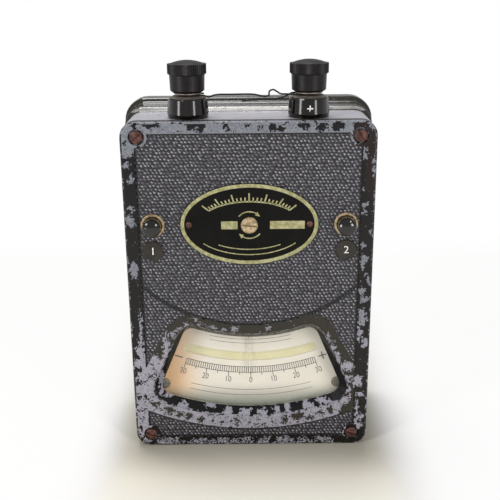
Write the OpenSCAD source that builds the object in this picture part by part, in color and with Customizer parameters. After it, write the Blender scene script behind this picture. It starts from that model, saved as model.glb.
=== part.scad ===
// Portable pointer galvanometer in a metal case, standing on its bottom end.
// X runs to the right, Y from the dial side to the back, and Z is up.
// The origin is the middle of the bottom end. A depth is a distance behind the front face.

/* [Case] */
// Width of the case across the front
case_w = 88.9; // [86:0.1:110]
// Depth of the case from the front face to the back
case_depth = 44.45; // [43.5:0.05:60]
// Side, top and bottom wall
wall = 2.2; // [1.6:0.1:2.6]
// Back wall
back_wall = 2.5; // [2:0.1:3]
// Radius of the front corners
corner_r = 5.5; // [4:0.1:8]
// How far the first step of the rear moulding stands out
step_1 = 1.6; // [0.8:0.1:2.4]
// How far the rear moulding stands out
step_2 = 3.3; // [2.6:0.1:5]
// Depth of the plain front part of the sides
ledge_depth = 23.2; // [19:0.1:30]
// Depth at which the rear moulding rises again
moulding_depth = 36; // [34:0.1:39]
// Depth that each step takes to rise
step_run = 2.4; // [1:0.1:3]
// Radius of the rear edge
rear_edge_r = 1; // [0.5:0.1:1.5]
// Depth of the shallow recess in the back
back_recess = 0.6; // [0.3:0.1:1]
// Width of the rim round the back recess
back_rim = 7; // [6:0.5:12]

/* [Front cover] */
// Thickness of the front cover
cover_t = 2.6; // [2.2:0.1:3.2]
// Radius of its front edge
cover_edge_r = 1; // [0.5:0.1:1.4]
// Gasket between the cover and the case
gasket_t = 0.4; // [0.2:0.1:0.8]
// How far the gasket's edge stays back from the outside
gasket_inset = 0.4; // [0.2:0.1:0.8]
// Inset of the corner screws from the sides
screw_inset_x = 5.83; // [5.2:0.01:7]
// Inset of the corner screws from the top and bottom
screw_inset_z = 5.2; // [4.8:0.1:7]
// Radius of a corner screw's shank
cover_screw_r = 1.4; // [1.1:0.1:1.6]
// Radius of its head
cover_screw_head_r = 2.25; // [2:0.05:2.5]
// Height of its head
cover_screw_head_h = 1.6; // [1.2:0.1:2]
// Length of its shank under the head
cover_screw_len = 9; // [6:0.5:14]
// Radius of the counterbore round the head
counterbore_r = 2.85; // [2.6:0.05:3.2]
// Depth of the counterbore
counterbore_depth = 0.9; // [0.5:0.1:1.3]
// Radius of the screw pillars in the case
pillar_r = 4.4; // [3:0.1:5]
// Width of the plain border beside the textured field
border_side = 4.95; // [4:0.05:7]
// Width of the plain border above the field
border_top = 4.1; // [3:0.1:7]
// Width of the plain border below the field
border_bottom = 3.8; // [3:0.1:5]
// Depth of the textured field
field_depth = 0.4; // [0.2:0.1:0.8]
// Radius of the field's notches round the corner screws
notch_r = 3.7; // [3.2:0.1:5]

/* [Window] */
// Height of the window bezel's foot above the bottom end
window_foot = 12.4; // [12:0.1:16]
// Distance of the pointer's axis below the top of the case
pivot_drop = 18.6; // [18:0.1:22]
// Inner radius of the window bezel at the face
bezel_r0 = 60.2; // [58:0.1:62]
// Outer radius of the window bezel at the face
bezel_r1 = 95; // [92:0.1:97]
// Distance of the bezel's outer corners from the sides of the case
bezel_side = 5.05; // [5:0.05:8]
// How far the bezel slopes in towards the glass
bezel_inset = 2.8; // [2:0.1:3.2]
// Depth of the bezel
bezel_depth = 3.4; // [3:0.1:4]
// Radius of the window's corners
window_corner_r = 4; // [2.5:0.1:6]
// Width of the flat rim above the bezel
rim_top = 3.3; // [2:0.1:4.5]
// Angle of the flat rim beside the bezel
rim_side = 3.5; // [2:0.1:4]
// Radius of the rim's upper corners
rim_corner_r = 9; // [6:0.5:12]
// Width of the flat rim below the bezel
rim_bottom = 5; // [4:0.1:6]
// Height at which the field's two legs end beside the rim
leg_height = 33.4; // [31:0.1:38]
// Thickness of the window glass
glass_t = 1.6; // [1:0.1:2]
// How far the glass reaches past the opening
glass_lap = 2.4; // [1.5:0.1:2.6]
// Thickness of the frame that holds the glass
retainer_t = 0.8; // [0.5:0.1:1]
// Distance of the frame's upper tabs below the bezel's inner edge
tab_drop = 5.8; // [4:0.1:8]
// Gap between a tab's pillar and the glass beside it
tab_gap = 0.3; // [0.2:0.05:0.6]
// Distance of the lower tabs from the glass
tab_reach = 2.8; // [2.4:0.1:3.2]

/* [Dial] */
// Depth of the dial's face
dial_depth = 8; // [7.8:0.1:8.6]
// Thickness of the dial plate
dial_t = 0.8; // [0.5:0.1:1]
// Clearance between the dial plate and the case's side walls
dial_side = 6.25; // [4:0.05:8]
// Height of its lower edge
dial_z0 = 12; // [10:0.5:14]
// Distance of its upper edge below the pointer's axis
dial_top_drop = 48.9; // [46:0.1:50]
// Inset of the dial screws from the plate's sides
dial_screw_side = 2.7; // [2.2:0.1:4]
// Height of the lower dial screws above the plate's lower edge
dial_screw_low = 11.4; // [8:0.1:14]
// Distance of the upper dial screws below the plate's upper edge
dial_screw_high = 5; // [4:0.1:7]
// Radius of the dial pillars
dial_post_r = 2.5; // [2:0.1:3]
// Inner radius of the mirror slot
mirror_r0 = 71.2; // [69:0.1:72.5]
// Outer radius of the mirror slot
mirror_r1 = 74.9; // [74:0.1:77]
// Half angle of the mirror slot
mirror_half = 20.2; // [17:0.1:20.5]
// Thickness of the mirror
mirror_t = 1; // [0.8:0.1:1.5]
// How far the mirror reaches past its slot
mirror_lap = 1.6; // [1:0.1:2]
// Angle of one scale division
division = 0.613; // [0.55:0.001:0.65]
// Reading at rest, in divisions
rest_reading = -1.2; // [-3:0.1:3]

/* [Nameplate] */
// Height of the nameplate's centre below the top of the case
nameplate_drop = 36.5; // [36:0.1:38]
// Half width of the oval nameplate
nameplate_a = 24.45; // [22:0.05:26]
// Half height of the oval nameplate
nameplate_b = 14.8; // [12:0.1:16]
// Thickness of the nameplate
nameplate_t = 0.8; // [0.5:0.1:1]
// Sideways place of the two drive pins
nameplate_pin_x = 21.4; // [19:0.1:21.8]

/* [Zero adjuster] */
// Radius of the adjusting screw's head
zero_head_r = 3; // [2.5:0.1:3.5]
// Height of its head
zero_head_h = 1.9; // [1.4:0.1:2.4]
// Radius of its shank
zero_shank_r = 2; // [1.6:0.1:2.2]
// Distance of its pin from its axis
zero_throw = 1.3; // [0.8:0.1:1.4]
// Radius of the pin
zero_pin_r = 0.5; // [0.4:0.05:0.7]
// Radius of the hub of the arm that it turns
zero_hub_r = 2.9; // [2.5:0.1:3.4]
// Thickness of the arm
zero_arm_t = 0.6; // [0.4:0.1:0.7]

/* [Keys] */
// Sideways place of the two keys
key_x = 34.3; // [33:0.1:35.2]
// Height of the keys below the top of the case
key_drop = 36.7; // [35:0.1:38]
// Radius of a button
button_r = 3.24; // [2.8:0.02:3.3]
// How far a button stands out of the face
button_out = 6; // [5:0.1:8]
// Travel of a button
key_travel = 2.8; // [2:0.1:3]
// Radius of the bush's flange
bush_flange_r = 4.2; // [4:0.1:4.6]
// Radius of the bush's body
bush_r = 3.8; // [3.7:0.05:3.9]
// Depth of the bush's inner end
bush_end = 9.6; // [9.4:0.1:10]
// Radius of the plunger
plunger_r = 1.2; // [0.9:0.1:1.4]
// Radius of the numbered disc below each key
disc_r = 3.75; // [3:0.05:4]
// Height of the numbered disc
disc_t = 0.9; // [0.6:0.1:1.2]
// Distance from a key down to its disc
disc_drop = 9.6; // [9:0.1:11]
// Depth of the contact boards
board_depth = 17; // [16.8:0.1:18]
// Thickness of the contact boards
board_t = 1.6; // [1:0.1:2]

/* [Binding posts] */
// Sideways place of the two posts
post_x = 21.24; // [19.5:0.01:24]
// Depth of the posts
post_depth = 10.7; // [10:0.1:12]
// Radius of the threaded stud
stud_r = 2; // [1.6:0.1:2.2]
// Height of the insulating collar
collar_h = 6.7; // [5:0.1:8]
// Radius of the collar at its widest
collar_r = 7.3; // [6.9:0.05:8]
// Radius of the collar's top
collar_top_r = 6.8; // [6.5:0.05:7]
// Height of the metal seat
seat_h = 0.8; // [0.6:0.1:2]
// Radius of the seat's foot
seat_r = 6.2; // [6:0.05:6.5]
// Room for the clamped wire
clamp_gap = 0.7; // [0.6:0.05:0.9]
// Thickness of the clamping washer
washer_t = 0.35; // [0.3:0.05:0.6]
// Height of the cap, without its dome
cap_h = 9.9; // [9:0.1:12]
// Radius of the cap's body at its foot
cap_foot_r = 6; // [5.6:0.05:6.1]
// Radius of the cap's body below its rim
cap_body_r = 6.18; // [6:0.02:6.3]
// Radius of the knurled rim
cap_rim_r = 6.8; // [6.5:0.05:7.2]
// Height of the knurled rim
cap_rim_h = 3.4; // [2.5:0.1:4]
// Height of the dome
cap_dome_h = 1.2; // [0.6:0.1:1.6]
// Radius of the shorting wire
wire_r = 0.28; // [0.2:0.01:0.3]
// Number of knurls
knurls = 54; // [36:1:72]
// Depth of a knurl
knurl_depth = 0.16; // [0.1:0.02:0.25]
// Rise of a cap in one turn
post_pitch = 0.8; // [0.5:0.05:1]
// Turns from clamped to open
post_turns = 4; // [2:1:5]

/* [Movement] */
// Depth of the front of the core and poles
pole_depth = 14; // [14:0.1:15]
// Length of the core and poles
pole_len = 18; // [16:0.5:18.5]
// Radius of the core
core_r = 6.4; // [5.8:0.1:6.5]
// Radius of the poles' bore
pole_bore_r = 9.2; // [9.1:0.05:9.3]
// Half width across the poles
pole_half = 14; // [13.6:0.1:14.5]
// Half height of the poles
pole_height = 12; // [11.5:0.1:12.5]
// Half width of the gap between the poles
pole_gap = 3; // [2.5:0.1:3.5]
// Half height of the coil
coil_half_h = 2.2; // [1.6:0.1:2.4]
// Half width inside the coil former
coil_half_w = 7.1; // [7:0.05:7.2]
// Thickness of the coil former
former_t = 0.5; // [0.3:0.05:0.6]
// Thickness of the winding
winding_t = 0.8; // [0.5:0.05:0.85]
// Thickness of the magnet
magnet_t = 7; // [5:0.1:8]
// Depth of the magnet's section
magnet_w = 16; // [12:0.5:16]
// Height of the middle of the magnet's bend below the pivot
magnet_reach = 31.4; // [26:0.1:34]
// Thickness of the bridges
bridge_t = 1.6; // [1.2:0.1:1.8]
// Half height of the bridges
bridge_half = 4; // [3:0.1:4.2]
// Radius of a pivot
pivot_r = 0.35; // [0.3:0.01:0.4]
// Depth of the pointer
pointer_depth = 6.9; // [6.8:0.05:7]
// Length of the pointer from its axis
pointer_len = 80.2; // [78:0.1:82]

/* [Resistor] */
// Sideways place of the resistor's axis
spool_x = -14; // [-20:0.5:20]
// Height of its axis
spool_z = 34; // [24:0.5:40]
// Length of its spool
spool_len = 16; // [10:0.5:18]
// Radius of the spool's cheeks
spool_r = 7; // [5:0.1:8]
// Radius of the spool's core
spool_core_r = 3.4; // [2.4:0.1:4]
// Radius of the winding
spool_wound_r = 6.2; // [4.5:0.1:7]
// Thickness of a cheek
spool_cheek = 1.5; // [1:0.1:2.5]

/* [Fits] */
// Clearance round a screw or spigot
fit = 0.1; // [0.05:0.01:0.12]
// Clearance of a turning or sliding piece
running = 0.07; // [0.04:0.01:0.09]

/* [Hidden] */
$fn = 64;

enamel = [0.13, 0.13, 0.13];
bakelite = [0.07, 0.06, 0.06];
brass = [0.72, 0.58, 0.3];
steel = [0.62, 0.62, 0.6];
copper = [0.68, 0.38, 0.22];
cream = [0.9, 0.86, 0.74];
paxolin = [0.45, 0.27, 0.14];

// Overlap of joined forms, so that they make one solid
join = 0.2;
// How far a cutting form reaches past a face
past = 1;

// Heights, depths and angles that follow from the driving sizes
pivot_z = window_foot + bezel_r1;
case_h = pivot_z + pivot_drop;
bezel_half = asin((case_w / 2 - bezel_side) / bezel_r1);
dial_z1 = pivot_z - dial_top_drop;
dial_w = case_w - 2 * (wall + dial_side);
zero_z = case_h - key_drop;
key_z = case_h - key_drop;
plate_z = case_h - nameplate_drop;
screw_x = case_w / 2 - screw_inset_x;
screw_z = [screw_inset_z, case_h - screw_inset_z];
case_front = cover_t + gasket_t;
back_inner = case_depth - back_wall;
glass_back = bezel_depth + glass_t;
retainer_back = glass_back + retainer_t;
dial_back = dial_depth + dial_t;
pole_back = pole_depth + pole_len;
opening_r0 = bezel_r0 + bezel_inset;
opening_r1 = bezel_r1 - bezel_inset;
mid_r = (bezel_r0 + bezel_r1) / 2;

function yd(depth) = depth - case_depth / 2;
function unit(v) = v / norm(v);
function degrees(radians) = radians * 180 / PI;
function arc(c, r, a0, a1, n) = [for (i = [0 : n])
    let (a = a0 + (a1 - a0) * i / n) c + r * [cos(a), sin(a)]];

// Upright box outline with round corners: half width, lower and upper edge, lower and upper radius
function box_outline(half, z0, z1, rb, rt, n = 8) = concat(
    arc([half - rb, z0 + rb], rb, -90, 0, n),
    arc([half - rt, z1 - rt], rt, 0, 90, n),
    arc([rt - half, z1 - rt], rt, 90, 180, n),
    arc([rb - half, z0 + rb], rb, 180, 270, n));

// Case outline, grown by out on the sides and top; the bottom end stays flat
function case_outline(out) = box_outline(
    case_w / 2 + out, max(0, -out), case_h + out, corner_r + min(0, out), corner_r + out);

// Part of a ring about the pointer's axis, with round corners, as an outline in X and Z
function sector(r0, r1, half, c0, c1, n = 6, edge = 14) =
    let (rm = (r0 + r1) / 2, s = half * PI / 180 * rm,
         flat = concat(
            arc([s - c1, -r1 + c1], c1, -90, 0, n),
            arc([s - c0, -r0 - c0], c0, 0, 90, n),
            [for (i = [1 : edge - 1]) [(s - c0) * (1 - 2 * i / edge), -r0]],
            arc([c0 - s, -r0 - c0], c0, 90, 180, n),
            arc([c1 - s, -r1 + c1], c1, 180, 270, n),
            [for (i = [1 : edge - 1]) [(c1 - s) * (1 - 2 * i / edge), -r1]]))
    [for (p = flat) let (a = p[0] / rm * 180 / PI) [-p[1] * sin(a), pivot_z + p[1] * cos(a)]];

// The window's outline, grown by out from the opening in the cover
function window(out) =
    let (c = max(0.5, window_corner_r + out))
    sector(opening_r0 - out, opening_r1 + out, window_half(out), c, c);
function window_half(out) = bezel_half - degrees((bezel_inset - out) / mid_r);

function polar(r, angle) = [r * sin(angle), pivot_z - r * cos(angle)];

// Places of the glass frame's tabs: two beside the glass and two below it
function retainer_tabs() =
    let (half = window_half(glass_lap), r = bezel_r0 + tab_drop, low_share = 0.74)
    [for (s = [-1, 1]) each [
        polar(r, s * (half + degrees((tab_boss_r + tab_gap) / r))),
        polar(opening_r1 + glass_lap + tab_reach, s * half * low_share)]];

function dial_holes() = [for (s = [-1, 1], z = [dial_z0 + dial_screw_low, dial_z1 - dial_screw_high])
    [s * (dial_w / 2 - dial_screw_side), z]];
function cover_holes() = [for (s = [-1, 1], z = screw_z) [s * screw_x, z]];

// Rise from one level to the next along a smooth curve
function rise(d, o0, o1, n = 6) = [for (i = [0 : n])
    [d + step_run * i / n, o0 + (o1 - o0) * (1 - cos(180 * i / n)) / 2]];

// A 2D outline in X and Z made solid between two depths
module slab(d0, d1) {
    translate([0, yd(d0), 0]) rotate([90, 0, 0]) translate([0, 0, d0 - d1]) linear_extrude(d1 - d0) children();
}

// A round bar along Y between two depths, at a place in X and Z
module rod(r, d0, d1, at = [0, 0], r2 = undef) {
    translate([at[0], yd(d0), at[1]]) rotate([-90, 0, 0])
        cylinder(r1 = r, r2 = r2 == undef ? r : r2, h = d1 - d0);
}

// A turned piece about Y: its profile holds [radius, depth] points
module turned(profile, at = [0, 0]) {
    translate([at[0], yd(0), at[1]]) rotate([-90, 0, 0]) rotate_extrude() polygon(profile);
}

// A solid through outlines at given depths; every outline has the same number of points
module loft(depths, outlines) {
    n = len(outlines[0]);
    rings = len(outlines);
    points = [for (k = [0 : rings - 1], p = outlines[k]) [p[0], yd(depths[k]), p[1]]];
    sides = [for (k = [0 : rings - 2], i = [0 : n - 1])
        let (j = (i + 1) % n, a = k * n, b = a + n) each [[a + i, a + j, b + j], [a + i, b + j, b + i]]];
    front = [for (i = [n - 1 : -1 : 0]) i];
    back = [for (i = [0 : n - 1]) (rings - 1) * n + i];
    polyhedron(points = points, faces = concat([front], sides, [back]), convexity = 8);
}

// A round wire swept along its points
module swept(path, r, sides = 8) {
    last = len(path) - 1;
    t = [for (i = [0 : last]) unit(path[min(i + 1, last)] - path[max(i - 1, 0)])];
    seed = abs(t[0][2]) < 0.9 ? [0, 0, 1] : [1, 0, 0];
    n = [for (i = 0, v = unit(seed - (seed * t[0]) * t[0]); i <= last;
        i = i + 1, v = i <= last ? unit(v - (v * t[i]) * t[i]) : v) v];
    points = [for (i = [0 : last], k = [0 : sides - 1])
        path[i] + r * (cos(360 * k / sides) * n[i] + sin(360 * k / sides) * cross(t[i], n[i]))];
    walls = [for (i = [0 : last - 1], k = [0 : sides - 1])
        let (m = (k + 1) % sides, a = i * sides, b = a + sides)
        each [[a + k, b + k, b + m], [a + k, b + m, a + m]]];
    first_cap = [for (k = [0 : sides - 1]) k];
    last_cap = [for (k = [sides - 1 : -1 : 0]) last * sides + k];
    polyhedron(points = points, faces = concat([first_cap], walls, [last_cap]), convexity = 10);
}

// A smooth curve through chosen points, with steps pieces between each pair
function curve(p, steps) = concat(
    [for (i = [0 : len(p) - 2], k = [0 : steps - 1])
        let (a = p[max(i - 1, 0)], b = p[i], c = p[i + 1], d = p[min(i + 2, len(p) - 1)], t = k / steps,
             square = 2 * a - 5 * b + 4 * c - d, cube = 3 * b - a - 3 * c + d)
        0.5 * (2 * b + (c - a) * t + square * t * t + cube * t * t * t)],
    [p[len(p) - 1]]);

// Case

module case() {
    front_r = 0.3;
    rear = [for (a = [0 : 30 : 90])
        [case_depth - rear_edge_r * (1 - sin(a)), step_2 - rear_edge_r * (1 - cos(a))]];
    profile = concat([[case_front, -front_r], [case_front + front_r, 0]], rise(ledge_depth, 0, step_1),
        rise(moulding_depth, step_1, step_2), rear);
    inner = corner_r - wall;
    color(enamel) difference() {
        union() {
            difference() {
                loft([for (p = profile) p[0]], [for (p = profile) case_outline(p[1])]);
                slab(case_front - past, back_inner)
                    polygon(box_outline(case_w / 2 - wall, wall, case_h - wall, inner, inner));
            }
            for (at = cover_holes())
                intersection() {
                    rod(pillar_r, case_front, back_inner + join, at);
                    slab(case_front, case_depth) polygon(case_outline(-join));
                }
            for (at = pole_bolts()) rod(boss_r, pole_back, back_inner + join, at);
            for (at = board_holes()) rod(board_boss_r, board_depth + board_t, back_inner + join, at);
        }
        for (at = cover_holes())
            rod(cover_screw_r + fit, case_front - past, case_front + cover_screw_len, at);
        for (at = pole_bolts()) {
            rod(bolt_r + fit, pole_back - past, case_depth + past, at);
            rod(bolt_head_r + fit, case_depth - back_wall, case_depth + past, at);
        }
        for (at = dial_holes()) {
            rod(bolt_r + fit, back_inner - past, case_depth + past, at);
            rod(bolt_head_r + fit, case_depth - head_sink, case_depth + past, at);
        }
        for (at = board_holes())
            rod(small_screw_r + fit, board_depth, board_depth + board_t + small_screw_len, at);
        rod(small_screw_r + fit, back_inner - past, back_inner + spool_bite + 0.3, spool_at);
        for (s = [-1, 1]) translate([s * post_x, yd(post_depth), case_h - wall - past])
            cylinder(r = spigot_r + fit, h = wall + 2 * past);
        slab(case_depth - back_recess, case_depth + past)
            polygon(box_outline(case_w / 2 - back_rim, back_rim, case_h - back_rim, corner_r, corner_r));
    }
}

// Screws that hold the movement and the dial pillars from behind
bolt_r = 1.5;
bolt_head_r = 2.8;
bolt_bite = 5;
boss_r = 3.6;
head_sink = 1.9;
bolt_rise = 9;
function pole_bolts() = [for (s = [-1, 1], t = [-1, 1]) [s * pole_screw_x, pivot_z + t * bolt_rise]];

module back_screws() {
    color(steel) {
        for (at = pole_bolts()) difference() {
            union() {
                rod(bolt_r, pole_back - bolt_bite, case_depth - back_wall, at);
                rod(bolt_head_r, case_depth - back_wall, case_depth - back_recess - 0.4, at);
            }
            slot_y(at, case_depth - back_recess - 1, bolt_head_r);
        }
        for (at = dial_holes()) difference() {
            union() {
                rod(bolt_r, back_inner - bolt_bite, case_depth - head_sink, at);
                rod(bolt_head_r, case_depth - head_sink, case_depth - back_recess - 0.2, at);
            }
            slot_y(at, case_depth - back_recess - 0.8, bolt_head_r);
        }
    }
}

// A screwdriver slot cut from a depth towards the back
module slot_y(at, depth, r, w = 0.7, turn = 0) {
    translate([at[0], yd(depth), at[1]]) rotate([0, turn, 0]) translate([-r - past, 0, -w / 2])
        cube([2 * r + 2 * past, 2 * past, w]);
}

// Front cover

module front_cover() {
    n = 4;
    profile = concat([for (i = [0 : n]) cover_edge_r * [1 - cos(90 * i / n), sin(90 * i / n) - 1]],
        [[cover_t, 0]]);
    reach = 0.6;
    color(enamel) difference() {
        union() {
            loft([for (p = profile) p[0]], [for (p = profile) case_outline(p[1])]);
            slab(cover_t - join, bezel_depth) polygon(window(glass_lap + 1.2));
            for (at = retainer_tabs()) rod(tab_boss_r, cover_t - join, glass_back, at);
        }
        loft([-reach, bezel_depth, bezel_depth + past],
            [window(bezel_inset * (1 + reach / bezel_depth)), window(0), window(0)]);
        upper_field();
        lower_field();
        for (at = cover_holes()) {
            rod(cover_screw_r + fit, -past, cover_t + past, at);
            rod(counterbore_r, -past, counterbore_depth, at);
        }
        for (at = retainer_tabs())
            rod(small_screw_r + fit, glass_back - small_screw_len, glass_back + past, at);
        for (s = [-1, 1]) {
            rod(bush_r + fit, -past, cover_t + past, [s * key_x, key_z]);
            rod(disc_pin_r + fit, -past, cover_t + past, [s * disc_x, key_z - disc_drop]);
            rod(plate_pin_r + fit, -past, cover_t + past, [s * nameplate_pin_x, plate_z]);
        }
        rod(zero_shank_r + running, -past, cover_t + past, [0, zero_z]);
    }
}

// Textured field above the window, cut to its depth
module upper_field() {
    half = case_w / 2 - border_side;
    difference() {
        slab(-past, field_depth) polygon(box_outline(half, leg_height, case_h - border_top, 0.6, 1));
        slab(-2 * past, field_depth + past)
            polygon(sector(bezel_r0 - rim_top, bezel_r1 + rim_bottom, bezel_half + rim_side,
                rim_corner_r, 2));
        for (at = cover_holes()) rod(notch_r, -2 * past, field_depth + past, at);
    }
}

// Textured field below the window
module lower_field() {
    half = case_w / 2 - border_side;
    difference() {
        slab(-past, field_depth) polygon(box_outline(half, border_bottom, leg_height / 2, 0.6, 0.2));
        rod(bezel_r1 + rim_bottom, -2 * past, field_depth + past, [0, pivot_z]);
        for (at = cover_holes()) rod(notch_r, -2 * past, field_depth + past, at);
    }
}

module cover_gasket() {
    inner = corner_r - wall;
    color([0.05, 0.05, 0.05]) difference() {
        slab(cover_t, case_front) polygon(case_outline(-gasket_inset));
        slab(cover_t - past, case_front + past) difference() {
            polygon(box_outline(case_w / 2 - wall, wall, case_h - wall, inner, inner));
            for (at = cover_holes()) translate(at) circle(r = pillar_r);
        }
        for (at = cover_holes()) rod(cover_screw_r + fit, cover_t - past, case_front + past, at);
    }
}

module cover_screws() {
    turns = [28, -38, 15, 60];
    top = counterbore_depth - cover_screw_head_h;
    tail = counterbore_depth + cover_screw_len;
    color(copper) for (i = [0 : 3]) difference() {
        turned([[0, top], [cover_screw_head_r - 0.5, top + 0.1], [cover_screw_head_r - 0.1, top + 0.4],
            [cover_screw_head_r, top + 0.8], [cover_screw_head_r, counterbore_depth],
            [cover_screw_r, counterbore_depth], [cover_screw_r, tail], [0, tail]], cover_holes()[i]);
        slot_y(cover_holes()[i], top + 0.7 - 2 * past, cover_screw_head_r, 0.6, turns[i]);
    }
}

// Window

// Small screws of the retainer, bridges, core and boards
small_screw_r = 0.8;
small_screw_head_r = 1.7;
small_screw_head_h = 1.1;
small_screw_len = 3.2;
tab_boss_r = 2;

module window_glass() {
    color([0.8, 0.88, 0.9, 0.35]) slab(bezel_depth, glass_back) polygon(window(glass_lap));
}

module glass_retainer() {
    color(steel) slab(glass_back, retainer_back) difference() {
        union() {
            polygon(window(glass_lap + 1));
            for (at = retainer_tabs()) translate(at) circle(r = tab_boss_r + 0.6);
        }
        polygon(window(0.5));
        for (at = retainer_tabs()) translate(at) circle(r = small_screw_r + fit);
    }
}

// A small cheese-head screw that enters towards the front
module small_screw(at, seat, len = small_screw_len) {
    difference() {
        union() {
            rod(small_screw_r, seat - len, seat, at);
            rod(small_screw_head_r, seat, seat + small_screw_head_h, at);
        }
        slot_y(at, seat + small_screw_head_h - 0.4, small_screw_head_r, 0.5, 20);
    }
}

module retainer_screws() {
    color(steel) for (at = retainer_tabs())
        small_screw(at, retainer_back, small_screw_len + retainer_t - 0.3);
}

// Dial

module dial_plate() {
    stop_angle = window_half(0) - 1;
    color(cream) {
        difference() {
            slab(dial_depth, dial_back) polygon(box_outline(dial_w / 2, dial_z0, dial_z1, 3, 3));
            slab(dial_depth - past, dial_back + past)
                polygon(sector(mirror_r0, mirror_r1, mirror_half, 1.8, 1.8));
            for (at = dial_holes()) rod(bolt_r - 0.3 + fit, dial_depth - past, dial_back + past, at);
        }
        for (s = [-1, 1])
            rod(0.5, pointer_depth - 0.9, dial_depth + join, polar(opening_r0 - 2, s * stop_angle));
    }
}

module dial_mirror() {
    lap_angle = degrees(mirror_lap / mirror_r0);
    color([0.85, 0.85, 0.78]) slab(dial_back, dial_back + mirror_t)
        polygon(sector(mirror_r0 - mirror_lap, mirror_r1 + mirror_lap, mirror_half + lap_angle, 1, 1));
}

module dial_posts() {
    color(brass) for (at = dial_holes()) difference() {
        rod(dial_post_r, dial_back, back_inner, at);
        rod(bolt_r + fit, back_inner - bolt_bite - 0.5, back_inner + past, at);
        rod(bolt_r - 0.3 + fit, dial_back - past, dial_back + 5, at);
    }
}

module dial_screws() {
    r = 2.1;
    color(brass) for (i = [0 : 3]) difference() {
        turned([[0, dial_depth - 1.1], [r - 0.5, dial_depth - 1], [r, dial_depth - 0.6],
            [r, dial_depth], [bolt_r - 0.3, dial_depth], [bolt_r - 0.3, dial_back + 4.5],
            [0, dial_back + 4.5]], dial_holes()[i]);
        slot_y(dial_holes()[i], dial_depth - 0.6 - 2 * past, r, 0.5, 35 * i);
    }
}

// Nameplate and zero adjuster

plate_pin_r = 0.6;

module nameplate() {
    front = field_depth - nameplate_t;
    n = 72;
    oval = [for (i = [0 : n - 1]) [nameplate_a * cos(360 * i / n), plate_z + nameplate_b * sin(360 * i / n)]];
    color(enamel) difference() {
        slab(front, field_depth) polygon(oval);
        rod(zero_head_r + fit, front - past, field_depth + past, [0, zero_z]);
        for (s = [-1, 1])
            rod(plate_pin_r + fit, front - past, field_depth + past, [s * nameplate_pin_x, plate_z]);
    }
}

module nameplate_pins() {
    front = field_depth - nameplate_t;
    color(copper) for (s = [-1, 1])
        turned([[0, front - 0.55], [0.6, front - 0.45], [1.05, front - 0.15], [1.1, front],
            [plate_pin_r, front], [plate_pin_r, cover_t - 0.2], [0, cover_t - 0.2]],
            [s * nameplate_pin_x, plate_z]);
}

module zero_screw() {
    top = field_depth - zero_head_h;
    color(brass) {
        difference() {
            turned([[0, top], [zero_head_r - 0.5, top], [zero_head_r, top + 0.45],
                [zero_head_r, field_depth], [zero_shank_r, field_depth], [zero_shank_r, clip_back + 0.4],
                [0, clip_back + 0.4]], [0, zero_z]);
            slot_y([0, zero_z], top + 0.8 - 2 * past, zero_head_r, 0.7, 6);
        }
        rod(zero_pin_r, clip_back, zero_arm_depth + zero_arm_t + 0.1, [0, zero_z - zero_throw]);
    }
    color(steel) difference() {
        rod(zero_shank_r + 1.1, cover_t + 0.05, clip_back, [0, zero_z]);
        rod(zero_shank_r + 0.02, cover_t - past, clip_back + past, [0, zero_z]);
    }
}

clip_back = cover_t + 0.6;
zero_arm_depth = pointer_depth - 0.7;
jewel_neck_r = 1.6;
// Place of the hairspring's outer end above the pivot
abutment_z = 5.6;

module zero_arm() {
    arm_back = zero_arm_depth + zero_arm_t;
    pin_z = zero_z - zero_throw;
    slot_half = zero_pin_r + fit;
    color(brass) {
        difference() {
            union() {
                rod(zero_hub_r, zero_arm_depth, arm_back, [0, pivot_z]);
                slab(zero_arm_depth, arm_back) polygon([
                    [-1, pivot_z], [-0.7, pin_z + 3.4], [-2, pin_z + 2.4], [-2, pin_z - 1.8],
                    [2, pin_z - 1.8], [2, pin_z + 2.4], [0.7, pin_z + 3.4], [1, pivot_z],
                    [0.8, pivot_z + abutment_z + 0.8], [-0.8, pivot_z + abutment_z + 0.8]]);
            }
            rod(jewel_neck_r + running, zero_arm_depth - past, arm_back + past, [0, pivot_z]);
            slab(zero_arm_depth - past, arm_back + past)
                translate([-slot_half, pin_z - 3]) square([2 * slot_half, 3 + zero_pin_r + 1]);
        }
        rod(0.4, arm_back - join, hair_front + hair_w, [0, pivot_z + abutment_z]);
    }
}

// Keys

disc_x = 34.6;
disc_pin_r = 0.7;
button_foot = cover_t - 0.2;
bush_bore_r = button_r + running;
bush_floor = bush_end - 1.2;
spring_wire_r = 0.25;
spring_r = bush_bore_r - 0.65;
contact_disc_back = board_depth - 1.2 - key_travel;

module key_button(x) {
    apex = -button_out;
    shoulder = apex + 1.5;
    dome = [for (i = [0 : 6]) [button_r * sin(15 * i), shoulder - (shoulder - apex) * cos(15 * i)]];
    stem = [[button_r, button_foot], [plunger_r, button_foot], [plunger_r, 0], [0, 0]];
    color(bakelite) turned(concat(dome, stem), [x, key_z]);
}

// Brass plunger with its retaining ring and its contact disc
module key_plunger(x) {
    ring = plunger_r + 1.1;
    disc_front = contact_disc_back - 0.8;
    color(brass) turned([[0, 0], [plunger_r, 0], [plunger_r, bush_end + 0.1], [ring, bush_end + 0.1],
        [ring, bush_end + 0.6], [plunger_r, bush_end + 0.6], [plunger_r, disc_front], [3, disc_front],
        [3, contact_disc_back], [0, contact_disc_back]], [x, key_z]);
}

module key_spring(x) {
    turns = 5;
    d0 = button_foot + spring_wire_r + 0.05;
    d1 = bush_floor - spring_wire_r - 0.05;
    n = 16;
    helix = [for (i = [0 : turns * n]) [x + spring_r * cos(360 * i / n),
        yd(d0 + (d1 - d0) * i / (turns * n)), key_z + spring_r * sin(360 * i / n)]];
    color(steel) swept(helix, spring_wire_r, 6);
}

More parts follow.
